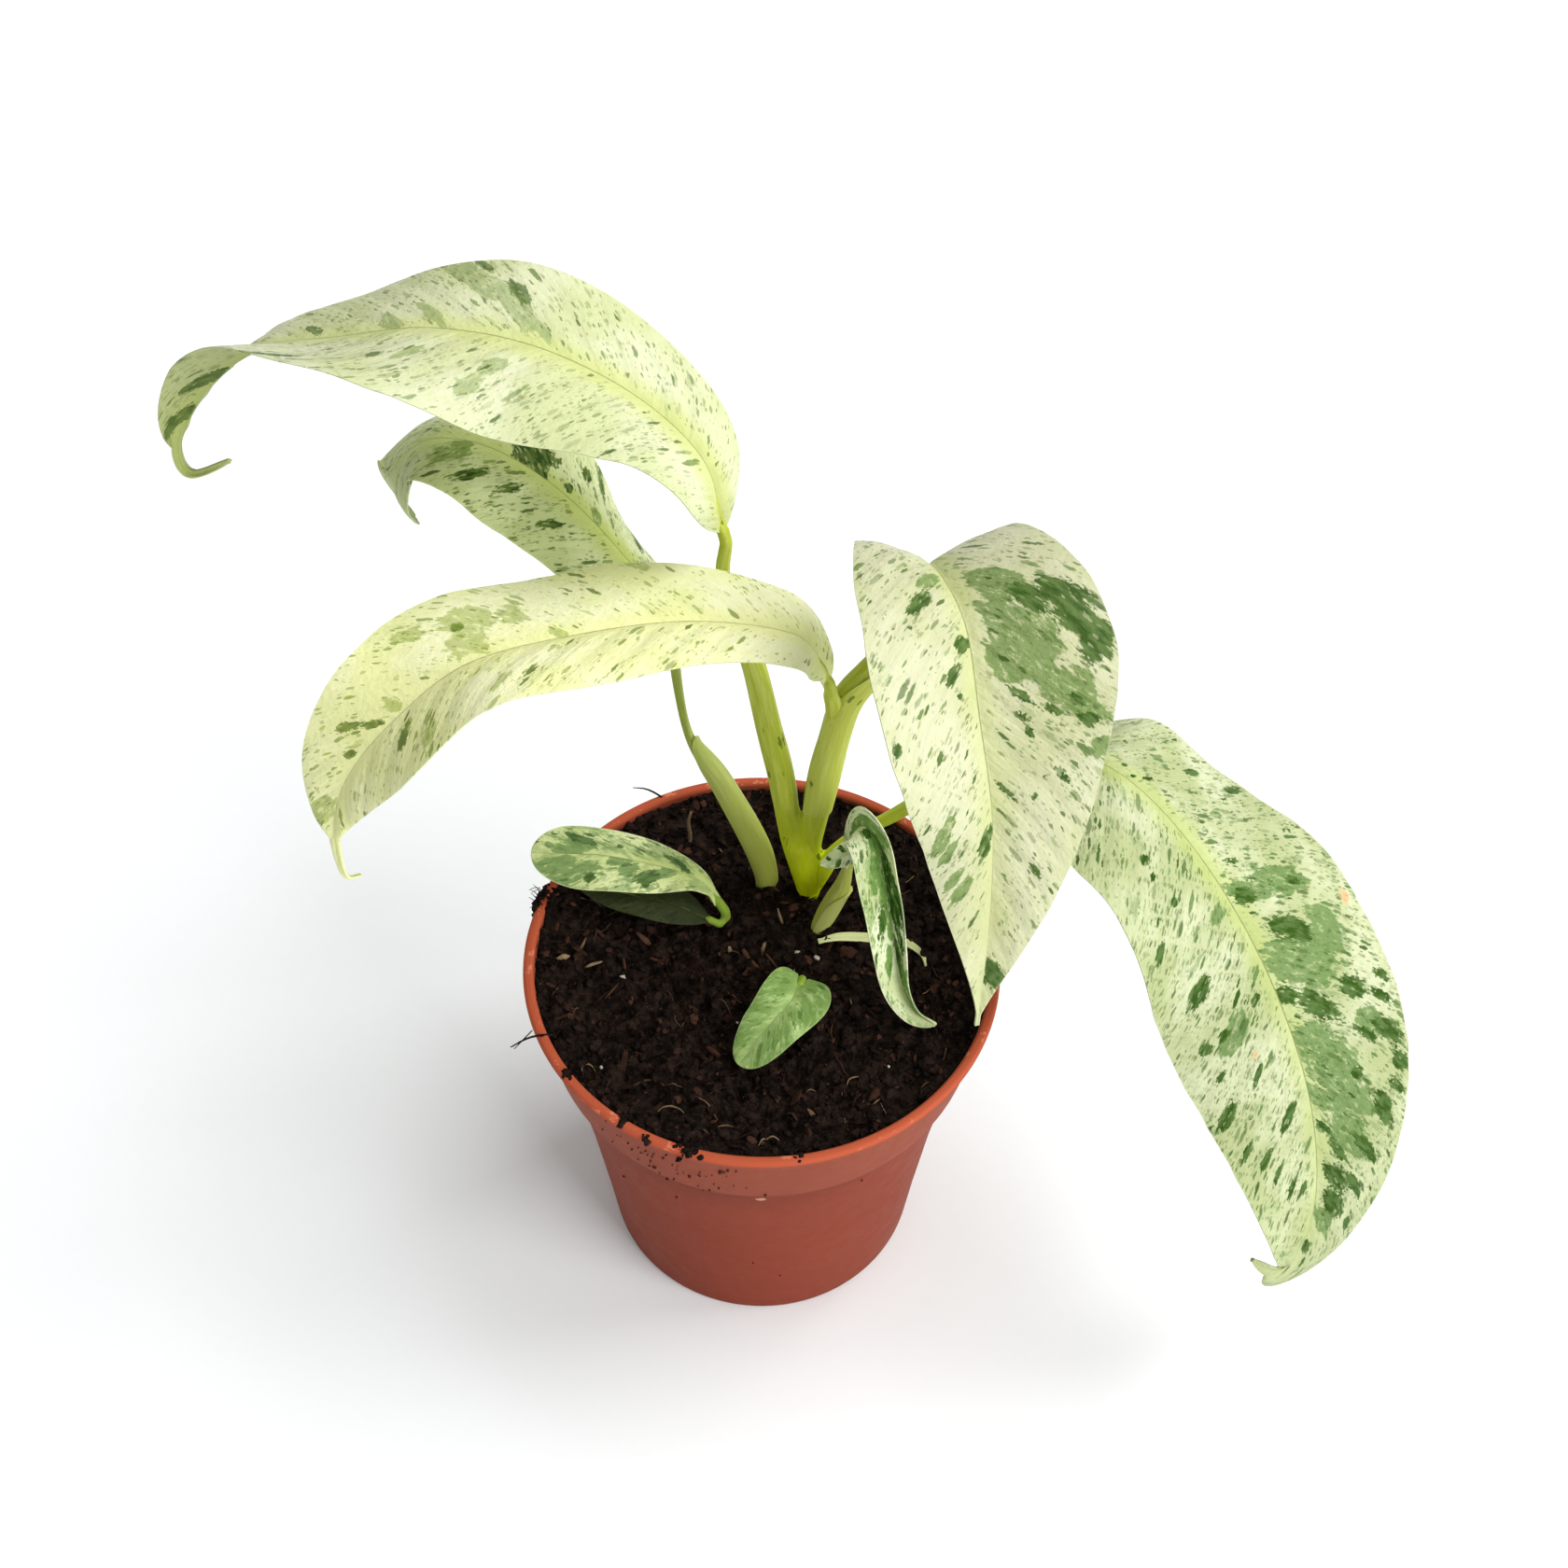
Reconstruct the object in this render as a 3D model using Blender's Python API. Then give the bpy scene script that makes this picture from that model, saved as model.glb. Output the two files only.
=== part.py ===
# A young trailing aroid in a flower pot: thin plastic pot, soil, leaf stalks standing in holes
# in the soil, and long waved blades. The file works in millimetres and scales each mesh to
# metres. The pot's axis is Z, its foot stands on z = 0 and the front is towards -Y.
import math

import bmesh
import bpy
import numpy as np

MM = 0.001
AIR = 0.3  # gap between pieces that touch

# Pot
POT_SIDES = 40
FLOOR = 2.8
FOOT_RADIUS = 42.4
COLLAR_BOTTOM = 82.5
RIM_TOP = 108.0
LIP_RADIUS = 60.0
DRAIN_HOLES = 8
DRAIN_RADIUS = 3.2
DRAIN_CIRCLE = 32.5

# Soil
SOIL_TOP = 102.5
SOIL_RISE = 2.8  # how much higher it stands at the wall
SOIL_RINGS = 9
SOIL_RADIUS = 56.4
SOIL_WAVES = [(0.4, 0.31, 0.2, 0.9), (0.35, 0.63, -0.5, 1.3), (0.25, 0.45, 0.8, 1.6)]
HOLE_FLOOR = 80.0
HOLE_SIDES = 16

# Blades
BLADE = 0.7  # thickness between the veins
RIB = 1.1  # what the midrib adds below, at a large blade's base
RIB_SHARE = 0.12  # the same on a small blade, as a share of its half width
CROWD = 0.6  # how far the stations crowd towards both ends
LARGE = (23, (-1, -0.7, -0.4, -0.14, 0, 0.14, 0.4, 0.7, 1))  # stations and columns
SMALL = (15, (-1, -0.5, 0, 0.5, 1))
SMALL_HALF = 12  # greatest half width of a blade with few columns
BASE_HALF = 1.5
TIP_HALF = 0.6

# Stalks
STALK_SIDES = 10
BEND = 3.0  # length of the straight bit just below a blade

# Half of a pot wall from the foot up the outside, over the lip and down the inside
POT_OUTSIDE = [
    (FOOT_RADIUS, 0.0), (43.0, 0.8), (44.8, 20.0), (48.0, 50.0), (52.3, 81.5),
    (52.7, COLLAR_BOTTOM), (54.7, 83.5), (55.3, 85.5), (57.9, 101.0), (58.5, 105.0),
    (LIP_RADIUS - 0.4, 105.4), (LIP_RADIUS, 106.2), (LIP_RADIUS, 107.3),
    (LIP_RADIUS - 0.6, RIM_TOP),
]
POT_INSIDE = [
    (57.9, RIM_TOP), (57.3, 107.3), (54.0, 86.2), (53.4, 84.8), (51.4, 83.4), (51.0, 81.5),
    (46.7, 50.0), (43.5, 20.0), (41.9, 4.2), (40.4, FLOOR),
]
# Underside from the centre to the foot: a flat disc, a shallow ring channel and the foot
POT_UNDER = [(26.0, 0.0), (27.2, 1.3), (37.4, 1.3), (38.6, 0.0)]

# Every blade: its midrib in mm from base to tip, and stations of roll and fold in degrees,
# spread evenly along it. left and right are the greatest half widths, base and tip shape the
# outline, wave holds the height and phase of the left and the right margin's two waves, and
# drip the length share and the half width share of a drawn-out tip.
BLADES = {
    "top_leaf": {
        "midrib": [
            (-8.5, 34.5, 219.5), (-12.5, 38.5, 236), (-27, 46, 247.5), (-48, 51, 256.5),
            (-70, 54, 259), (-91, 57, 254.5), (-110.5, 61, 248.5), (-124.5, 62, 236.5),
            (-132.5, 60.5, 223.5), (-131, 58, 216.5), (-120.5, 56, 221.5),
        ],
        "roll": [-2, -12, -20, -32, -59, -55], "fold": [5, 8, 32],
        "left": 24.5, "right": 22.5, "base": 0.62, "tip": 0.63,
        "wave": (5, 0.05, -2.5, 0.05), "drip": (0.1, 0.1),
    },
    "back_leaf": {
        "midrib": [
            (-24, 43, 191.5), (-42.5, 54.5, 209), (-59.5, 63.5, 217), (-74, 68.5, 217.5),
            (-82.5, 69, 213), (-86.5, 65, 206.5), (-83.5, 66, 196),
        ],
        "roll": [-5, -8, -7, -4, 3], "fold": [-23, -5, 7],
        "left": 17.5, "right": 19, "base": 0.3, "tip": 0.4,
        "wave": (-1.5, 0.35, -3, 0.9), "drip": (0, 0),
    },
    "left_leaf": {
        "midrib": [
            (15, 13.5, 193), (13.5, 13, 199.5), (6.5, 11.5, 210.5), (-15.5, 10.5, 215),
            (-40.5, 6, 215), (-62.5, 0.5, 212), (-78, -6.5, 202.5), (-89, -10.5, 190),
            (-94, -13, 178.5), (-94.5, -16, 170), (-93, -19, 164.5), (-90.5, -17, 162),
        ],
        "roll": [62, 18, 8, 4, 3, 20, 40, 47, 47], "fold": [1, 11, 17],
        "left": 18.5, "right": 22.5, "base": 0.78, "tip": 0.74,
        "wave": (-1.5, 0.4, 0.5, 0.65), "drip": (0.08, 0.07),
    },
    "right_leaf": {
        "midrib": [
            (34.5, 24, 209.5), (35.5, 14, 228.5), (41, -6.5, 232), (44, -22, 220),
            (47.5, -32.5, 200), (48, -42.5, 178), (47, -50, 151.5),
        ],
        "roll": [3, 1, -3, 2, -2, -1], "fold": [41, 18, 18, 15],
        "left": 29.5, "right": 24.5, "base": 0.77, "tip": 1.35,
        "wave": (1, 0.3, -3, 0.85), "drip": (0, 0),
    },
    "far_right_leaf": {
        "midrib": [
            (66.5, 15.5, 167.5), (78.5, 7.5, 172.5), (91, -1.5, 167.5), (105.5, -13, 153.5),
            (120, -24.5, 131), (131.5, -37, 105), (137, -48, 80), (136, -55.5, 62),
            (130, -59.5, 55.5), (121.5, -62, 65.5),
        ],
        "roll": [1, 8, -16, -21, -21, -1], "fold": [-10, -1, 23],
        "left": 33.5, "right": 30, "base": 0.31, "tip": 0.47,
        "wave": (-2, 0.55, 2.5, 0.65), "drip": (0.06, 0.07),
    },
    "young_leaf": {
        "midrib": [
            (21.5, 14.5, 126.5), (22, 14.5, 135), (23.5, 12.5, 143), (25.5, 9, 147.5),
            (28, 4.5, 146), (29.5, 0, 139.5), (31, -3.5, 132.5), (32.5, -8.5, 123.5),
            (34, -13, 114.5), (37.5, -17, 108.5), (43, -19.5, 106),
        ],
        "roll": [0, 10, 20, 20, 10], "fold": [20, 38, 45, 45],
        "left": 5.6, "right": 7.6, "base": 0.4, "tip": 0.5,
        "wave": (0, 0, 0, 0), "drip": (0, 0),
    },
    "low_leaf": {
        "midrib": [
            (-11, 16, 109), (-13.5, 17.8, 112.5), (-18.5, 20.5, 114.5), (-28, 22.5, 116), (-41.5, 24, 118),
            (-59, 24, 119),
        ],
        "roll": [-5, -2, -3, -2, 5], "fold": [-5, -6, 1],
        "left": 9.5, "right": 10, "base": 1, "tip": 0.5,
        "wave": (-0.5, 0.65, -0.5, 0.95), "drip": (0, 0),
    },
    "low_under_leaf": {
        "midrib": [(-13.5, 12.7, 106), (-22, 14.7, 109.5), (-34, 16.7, 111), (-48, 18.7, 113)],
        "roll": [0, 4, 0], "fold": [4, 8, 4],
        "left": 6.3, "right": 6, "base": 0.6, "tip": 0.8,
        "wave": (0.4, 0.2, 0.4, 0.6), "drip": (0, 0),
    },
    "soil_leaf": {
        "midrib": [(9.5, -7.5, 106), (7, -16, 110), (1, -24, 110), (-5.5, -31, 105.5)],
        "roll": [14, 6, -5, -3, 2], "fold": [18, 9, 8],
        "left": 9.5, "right": 8.5, "base": 0.22, "tip": 0.45,
        "wave": (0, 0, 0, 0), "drip": (0, 0),
    },
    "scale_leaf": {
        "midrib": [
            (14.5, 7.2, 103.9), (20, 8.6, 103.8), (28, 8.2, 103.8), (36, 7, 104),
            (40.5, 3.2, 104.4), (41.5, -1, 105),
        ],
        "roll": [-6, 4, 10], "fold": [16, 20, 12],
        "left": 1.6, "right": 1.5, "base": 0.5, "tip": 0.7,
        "wave": (0, 0, 0, 0), "drip": (0, 0),
    },
}

# Stalks that stand in the soil: each node's branches as points and radii in mm. A branch that
# carries a blade runs on to that blade's base.
SHOOTS = {
    "central_shoot": {
        "hole": (12.4, 24.3, 4.7),
        "branches": [
            (None, [(12.4, 24.3, 84, 2.4), (12.4, 24.3, 97, 2.9), (12.4, 24.3, 102.5, 3.3),
                    (11.7, 24.5, 110, 4.3), (10.8, 24.8, 117, 4.8), (10, 25, 124, 5)]),
            ("top_leaf", [(11.8, 24.6, 99, 2.4), (10.6, 25, 108, 2.8), (8.6, 25.8, 117, 3.1),
                          (7.2, 26.3, 126, 3.5), (4.8, 27, 146, 3.5), (1.6, 28.2, 163, 3.2),
                          (-1.6, 29.5, 181, 2.9), (-4.3, 30.5, 190, 2.6), (-6.8, 31.5, 199, 2.2),
                          (-8.7, 32.6, 208, 1.75)]),
            ("right_leaf", [(12.4, 24.3, 99, 2.4), (12.2, 24.3, 108, 2.8), (12.2, 24.3, 117, 3.1),
                            (12.8, 24.4, 127, 3.5), (14.8, 24, 147, 4), (17, 22, 165, 3.6),
                            (19.6, 20.5, 180, 3.6), (24.4, 20.6, 189, 3.2),
                            (29.4, 21.6, 197, 2.3)]),
            ("left_leaf", [(16.8, 21, 172, 1.7), (16.4, 18, 181, 1.9), (15.6, 15, 187.5, 1.7)]),
            ("far_right_leaf", [(13, 24.2, 103, 2.4), (15.5, 23.8, 111, 2.8),
                                (18.5, 23.2, 120, 2.6), (22.6, 22.6, 127, 2.2),
                                (27.7, 22, 132.5, 2), (33.3, 21.3, 138, 2), (50, 19.5, 156, 1.9)]),
        ],
    },
    "left_shoot": {
        "hole": (1.1, 28.1, 3.9),
        "branches": [
            ("back_leaf", [(0.9, 28.2, 84, 2.2), (0.9, 28.2, 97, 2.7), (1.4, 28, 104, 3),
                           (-0.4, 29, 113, 3.5), (-3.7, 30.5, 122, 3.5), (-7.6, 32, 131, 3.2),
                           (-10.9, 33.4, 138, 2.9), (-13.9, 34.8, 142.5, 2.4),
                           (-16.9, 36.3, 147, 1.5), (-18.6, 37.5, 152, 1.15),
                           (-19.8, 39, 159, 1.15), (-20.8, 40.8, 169, 1.3),
                           (-21.2, 41.3, 180, 1.3)]),
        ],
    },
    "small_shoot": {
        "hole": (14.6, 12.6, 3.1),
        "branches": [
            ("young_leaf", [(14.3, 12.5, 84, 1.6), (14.3, 12.5, 97, 1.8), (14.6, 12.5, 102.5, 2),
                            (16.4, 13.6, 107, 2.5), (18.4, 14.4, 112, 2.5),
                            (20.4, 14.6, 118, 2.1)]),
        ],
    },
    "low_shoot": {
        "hole": (-9.3, 14.3, 2.4),
        "branches": [
            ("low_leaf", [(-9, 14.4, 84, 1.1), (-9, 14.4, 97, 1.3), (-9, 14.4, 102, 1.3)]),
            ("low_under_leaf", [(-9.2, 14.4, 99, 1), (-9.8, 14, 103.5, 1)]),
        ],
    },
    "soil_leaf_stalk": {
        "hole": (10.2, -4.9, 1.9),
        "branches": [
            ("soil_leaf", [(10.2, -4.9, 86, 0.9), (10.2, -4.9, 97, 1.1), (10.2, -4.9, 102.5, 1.1)]),
        ],
    },
}

# Base colour and roughness, read from the photo
COLOURS = {
    "pot": ((0.62, 0.22, 0.13), 0.5),
    "soil": ((0.035, 0.027, 0.022), 0.95),
    "stalk": ((0.42, 0.52, 0.14), 0.45),
    "pale_blade": ((0.72, 0.78, 0.42), 0.42),
    "marbled_blade": ((0.5, 0.62, 0.33), 0.42),
    "green_blade": ((0.22, 0.36, 0.14), 0.45),
}
PALE = ("top_leaf", "left_leaf", "scale_leaf")
GREEN = ("low_leaf", "low_under_leaf", "soil_leaf", "young_leaf")


def clear_scene():
    for old in list(bpy.data.objects):
        bpy.data.objects.remove(old, do_unlink=True)


def material(name):
    colour, roughness = COLOURS[name]
    found = bpy.data.materials.get(name)
    if found:
        return found
    made = bpy.data.materials.new(name)
    made.use_nodes = True
    shader = made.node_tree.nodes["Principled BSDF"]
    shader.inputs["Base Color"].default_value = (*colour, 1.0)
    shader.inputs["Roughness"].default_value = roughness
    shader.inputs["Metallic"].default_value = 0.0
    return made


def add_object(name, mesh, material_name, smooth_angle=40):
    mesh.name = name
    mesh.materials.clear()
    mesh.materials.append(material(material_name))
    mesh.shade_smooth()
    mesh.set_sharp_from_angle(angle=math.radians(smooth_angle))
    made = bpy.data.objects.new(name, mesh)
    bpy.context.scene.collection.objects.link(made)
    return made


def mesh_of(points, faces):
    """A mesh in metres from points in millimetres, with its faces turned outwards."""
    mesh = bpy.data.meshes.new("shape")
    mesh.from_pydata([tuple(p * MM for p in point) for point in points], [], faces)
    shape = bmesh.new()
    shape.from_mesh(mesh)
    bmesh.ops.recalc_face_normals(shape, faces=shape.faces)
    shape.to_mesh(mesh)
    shape.free()
    return mesh


def turned(profile, sides):
    """A solid turned round Z from a closed loop of (radius, height); radius 0 is on the axis."""
    points = []
    rings = []
    for radius, height in profile:
        if radius == 0:
            rings.append([len(points)])
            points.append((0, 0, height))
            continue
        rings.append(list(range(len(points), len(points) + sides)))
        for k in range(sides):
            a = 2 * math.pi * k / sides
            points.append((radius * math.cos(a), radius * math.sin(a), height))
    faces = []
    for low, high in zip(rings, rings[1:] + rings[:1]):
        if len(low) == 1 and len(high) == 1:
            continue
        for k in range(sides):
            n = (k + 1) % sides
            if len(low) == 1:
                faces.append((low[0], high[n], high[k]))
            elif len(high) == 1:
                faces.append((low[k], low[n], high[0]))
            else:
                faces.append((low[k], low[n], high[n], high[k]))
    return mesh_of(points, faces)


def apply_boolean(target, operation, others):
    """Applies one Boolean with a collection of objects and removes them."""
    group = bpy.data.collections.new("others")
    bpy.context.scene.collection.children.link(group)
    for other in others:
        group.objects.link(other)
        bpy.context.scene.collection.objects.unlink(other)
    modifier = target.modifiers.new("join", "BOOLEAN")
    modifier.operation = operation
    modifier.operand_type = "COLLECTION"
    modifier.collection = group
    modifier.solver = "EXACT"
    graph = bpy.context.evaluated_depsgraph_get()
    result = bpy.data.meshes.new_from_object(target.evaluated_get(graph))
    target.modifiers.clear()
    target.data = result
    for other in others:
        bpy.data.objects.remove(other, do_unlink=True)
    bpy.data.collections.remove(group)


def cylinder(x, y, radius, low, high, sides):
    shape = bmesh.new()
    bmesh.ops.create_cone(
        shape, cap_ends=True, segments=sides, radius1=radius * MM, radius2=radius * MM,
        depth=(high - low) * MM,
    )
    bmesh.ops.translate(shape, verts=shape.verts, vec=(x * MM, y * MM, (low + high) / 2 * MM))
    mesh = bpy.data.meshes.new("cutter")
    shape.to_mesh(mesh)
    shape.free()
    made = bpy.data.objects.new("cutter", mesh)
    bpy.context.scene.collection.objects.link(made)
    return made


def smooth_path(points, count, crowd=0.0):
    """count points of a smooth curve through the given ones, and its length. With crowd they
    stand closer at both ends. Columns past the third follow along, such as a radius."""
    given = np.array(points, dtype=float)
    given = np.vstack([2 * given[0] - given[1], given, 2 * given[-1] - given[-2]])
    fine = []
    for i in range(1, len(given) - 2):
        a, b, c, d = given[i - 1:i + 3]
        for u in np.linspace(0, 1, 24, endpoint=False):
            fine.append(0.5 * (2 * b + (c - a) * u + (2 * a - 5 * b + 4 * c - d) * u**2
                               + (3 * b - a - 3 * c + d) * u**3))
    fine.append(given[-2])
    fine = np.array(fine)
    steps = np.linalg.norm(np.diff(fine[:, :3], axis=0), axis=1)
    run = np.concatenate([[0], np.cumsum(steps)])
    share = along(count, crowd)
    path = [np.interp(share * run[-1], run, column) for column in fine.T]
    return np.stack(path, axis=-1), run[-1]


def along(count, crowd):
    """Shares from 0 to 1 along a path, crowded towards both ends."""
    even = np.linspace(0, 1, count)
    return (1 - crowd) * even + crowd * (1 - np.cos(np.pi * even)) / 2


def unit(vectors):
    return vectors / np.linalg.norm(vectors, axis=-1, keepdims=True)


def stations(values, share):
    """Evenly spread station values, smoothly interpolated at each share of the length."""
    given = np.array(values, dtype=float)
    place = share * (len(given) - 1)
    i = np.clip(place.astype(int), 0, len(given) - 2)
    u = place - i
    given = np.concatenate([[2 * given[0] - given[1]], given, [2 * given[-1] - given[-2]]])
    a, b, c, d = given[i], given[i + 1], given[i + 2], given[i + 3]
    return 0.5 * (2 * b + (c - a) * u + (2 * a - 5 * b + 4 * c - d) * u**2
                  + (3 * b - a - 3 * c + d) * u**3)


def half_width(blade, share):
    """Half width along the blade, as a share of its greatest: an oval with a drawn-out tip."""
    base, tip = blade["base"], blade["tip"]
    drip_length, drip_width = blade["drip"]
    body = np.clip(share / (1 - drip_length), 0, 1)
    peak = base / (base + tip)
    oval = body**base * (1 - body) ** tip / (peak**base * (1 - peak) ** tip)
    if drip_length == 0:
        return oval
    drip = drip_width * np.sqrt(np.clip((1 - share) / drip_length, 0, 1))
    return np.where(share > 0.5, np.maximum(oval, drip), oval)


def blade_surface(blade, rows, columns):
    """The blade's middle surface as a grid of points in mm, one row for each station and one
    column for each share of the half width, from -1 at the left margin to 1 at the right.
    The way up at each station comes with it."""
    path, _ = smooth_path(blade["midrib"], rows, CROWD)
    share = along(rows, CROWD)
    ahead = unit(np.gradient(path, axis=0))
    side = np.zeros_like(path)
    side[0] = unit(np.cross(ahead[0], (0, 0, 1.0)))
    for i in range(1, rows):
        carried = side[i - 1] - ahead[i] * (side[i - 1] @ ahead[i])
        side[i] = unit(carried)
    up = np.cross(side, ahead)
    roll = np.radians(stations(blade["roll"], share))[:, None]
    side, up = side * np.cos(roll) + up * np.sin(roll), up * np.cos(roll) - side * np.sin(roll)
    fold = np.radians(stations(blade["fold"], share))
    shape = half_width(blade, share)
    left_wave, left_phase, right_wave, right_phase = blade["wave"]
    least = BASE_HALF + (TIP_HALF - BASE_HALF) * share
    grid = np.zeros((rows, len(columns), 3))
    for j, place in enumerate(columns):
        if place > 0:
            greatest, height, phase = blade["right"], right_wave, right_phase
        else:
            greatest, height, phase = blade["left"], left_wave, left_phase
        half = np.maximum(shape * greatest, least)
        wave = height * np.sin(2 * np.pi * (2 * share + phase)) * np.sqrt(shape)
        # narrow ends spread their columns evenly
        even = -1 + 2 * j / (len(columns) - 1)
        blend = np.clip((half - 0.6) / 4, 0, 1)
        across = even + (place - even) * blend
        out = half * across * np.cos(fold)
        lift = half * np.abs(across) * np.sin(fold) + (wave - 0.1 * half) * across**2
        grid[:, j] = path + side * out[:, None] + up * lift[:, None]
    return grid, up


def blade_mesh(blade):
    """A closed blade: the upper face, a lower face with the midrib standing out, and edges."""
    rows, columns = LARGE if blade["left"] > SMALL_HALF else SMALL
    wide = len(columns)
    middle, up = blade_surface(blade, rows, columns)
    lengthwise = np.gradient(middle, axis=0)
    crosswise = np.gradient(middle, axis=1)
    normal = unit(np.cross(crosswise, lengthwise))
    # the ends are cut square to the midrib
    normal[0], normal[-1] = up[0], up[-1]
    share = along(rows, CROWD)
    rib = np.zeros((rows, wide))
    rib[:, wide // 2] = min(RIB, blade["left"] * RIB_SHARE) * (1 - 0.75 * share)
    upper = middle + normal * (BLADE / 2)
    lower = middle - normal * (BLADE / 2 + rib)[:, :, None]
    points = [tuple(p) for p in upper.reshape(-1, 3)] + [tuple(p) for p in lower.reshape(-1, 3)]
    below = rows * wide
    faces = []
    for i in range(rows - 1):
        for j in range(wide - 1):
            a, b = i * wide + j, i * wide + j + 1
            c, d = b + wide, a + wide
            # both faces are split along the same diagonal
            faces += [(a, b, c), (a, c, d)]
            faces += [(below + a, below + c, below + b), (below + a, below + d, below + c)]
    for i in range(rows - 1):
        for j in (0, wide - 1):
            a, d = i * wide + j, (i + 1) * wide + j
            faces += [(a, d, below + d), (a, below + d, below + a)]
    for i in (0, rows - 1):
        for j in range(wide - 1):
            a, b = i * wide + j, i * wide + j + 1
            faces += [(a, b, below + b), (a, below + b, below + a)]
    return mesh_of(points, faces)


def stalk(name, points, end):
    """A tapering round stalk as a curve with caps, turned into a mesh. It runs smoothly
    through the points and then straight to the end."""
    path, _ = smooth_path(points, 2 * len(points))
    if end:
        path = np.vstack([path, end])
    curve = bpy.data.curves.new(name, "CURVE")
    curve.dimensions = "3D"
    curve.bevel_depth = MM
    curve.bevel_resolution = STALK_SIDES // 2 - 2
    curve.use_fill_caps = True
    spline = curve.splines.new("POLY")
    spline.points.add(len(path) - 1)
    for point, (x, y, z, radius) in zip(spline.points, path):
        point.co = (x * MM, y * MM, z * MM, 1)
        point.radius = radius
    drawn = bpy.data.objects.new(name, curve)
    bpy.context.scene.collection.objects.link(drawn)
    graph = bpy.context.evaluated_depsgraph_get()
    mesh = bpy.data.meshes.new_from_object(drawn.evaluated_get(graph))
    bpy.data.objects.remove(drawn, do_unlink=True)
    shape = bmesh.new()
    shape.from_mesh(mesh)
    bmesh.ops.remove_doubles(shape, verts=shape.verts, dist=0.000001)
    bmesh.ops.recalc_face_normals(shape, faces=shape.faces)
    shape.to_mesh(mesh)
    shape.free()
    made = bpy.data.objects.new(name, mesh)
    bpy.context.scene.collection.objects.link(made)
    return made


def stalk_end(blade, radius):
    """A stalk's last two points: in line with the midrib, short of its blade's base."""
    first, second = np.array(blade["midrib"][:2], dtype=float)
    ahead = unit(second - first)
    return [(*(first - ahead * short), radius) for short in (BEND, AIR + 0.1)]


def make_pot():
    profile = [(0, 0), *POT_UNDER, *POT_OUTSIDE, *POT_INSIDE, (0, FLOOR)]
    pot = add_object("pot", turned(profile, POT_SIDES), "pot")
    drills = []
    for k in range(DRAIN_HOLES):
        a = 2 * math.pi * (k + 0.5) / DRAIN_HOLES
        x, y = DRAIN_CIRCLE * math.cos(a), DRAIN_CIRCLE * math.sin(a)
        drills.append(cylinder(x, y, DRAIN_RADIUS, -1, FLOOR + 1, 12))
    apply_boolean(pot, "DIFFERENCE", drills)
    return pot


def soil_height(x, y):
    """The soil's lumpy top: a few crossing waves of (height, turn along x, turn along y, start),
    higher towards the wall."""
    lumps = sum(height * math.sin(a * x + b * y + start) for height, a, b, start in SOIL_WAVES)
    return SOIL_TOP + lumps + SOIL_RISE * (math.hypot(x, y) / SOIL_RADIUS) ** 6


def make_soil():
    """Soil that fills the pot with a thin gap to the wall, with a plain hole for each stalk."""
    wall = [(r - AIR, z) for r, z in POT_INSIDE if z < SOIL_TOP - 3]
    wall[-1] = (wall[-1][0], FLOOR + AIR)
    points = [(0, 0, soil_height(0, 0))]
    for ring in range(SOIL_RINGS):
        radius = SOIL_RADIUS * (ring + 1) / SOIL_RINGS
        for k in range(POT_SIDES):
            a = 2 * math.pi * k / POT_SIDES
            x, y = radius * math.cos(a), radius * math.sin(a)
            points.append((x, y, soil_height(x, y)))
    for radius, height in wall:
        for k in range(POT_SIDES):
            a = 2 * math.pi * k / POT_SIDES
            points.append((radius * math.cos(a), radius * math.sin(a), height))
    points.append((0, 0, FLOOR + AIR))
    faces = []
    last = SOIL_RINGS + len(wall) - 1
    for k in range(POT_SIDES):
        n = (k + 1) % POT_SIDES
        faces.append((0, 1 + k, 1 + n))
        for ring in range(last):
            a = 1 + ring * POT_SIDES
            b = a + POT_SIDES
            faces.append((a + k, b + k, b + n, a + n))
        a = 1 + last * POT_SIDES
        faces.append((a + k, len(points) - 1, a + n))
    soil = add_object("soil", mesh_of(points, faces), "soil")
    holes = []
    for shoot in SHOOTS.values():
        x, y, radius = shoot["hole"]
        holes.append(cylinder(x, y, radius, HOLE_FLOOR, SOIL_TOP + 6, HOLE_SIDES))
    apply_boolean(soil, "DIFFERENCE", holes)
    return soil


def make_shoots():
    for name, shoot in SHOOTS.items():
        parts = []
        for carried, points in shoot["branches"]:
            route = list(points)
            end = None
            if carried:
                bend, end = stalk_end(BLADES[carried], min(BASE_HALF, points[-1][3]))
                route.append(bend)
            parts.append(stalk(name, route, end))
        mesh = parts[0].data
        bpy.data.objects.remove(parts[0], do_unlink=True)
        made = add_object(name, mesh, "stalk")
        if len(parts) > 1:
            apply_boolean(made, "UNION", parts[1:])


def make_blades():
    for name, blade in BLADES.items():
        look = "marbled_blade"
        if name in PALE:
            look = "pale_blade"
        elif name in GREEN:
            look = "green_blade"
        add_object(name, blade_mesh(blade), look, 60)


def main():
    clear_scene()
    make_pot()
    make_soil()
    make_shoots()
    make_blades()


main()
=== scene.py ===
# A young variegated climbing aroid in a terracotta-coloured nursery pot. The lengths of its
# pieces are in millimetres until a mesh is made, which turns them into metres. The pot's axis is
# Z, its foot stands on z = 0 and the front is towards -Y.
import math

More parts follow.
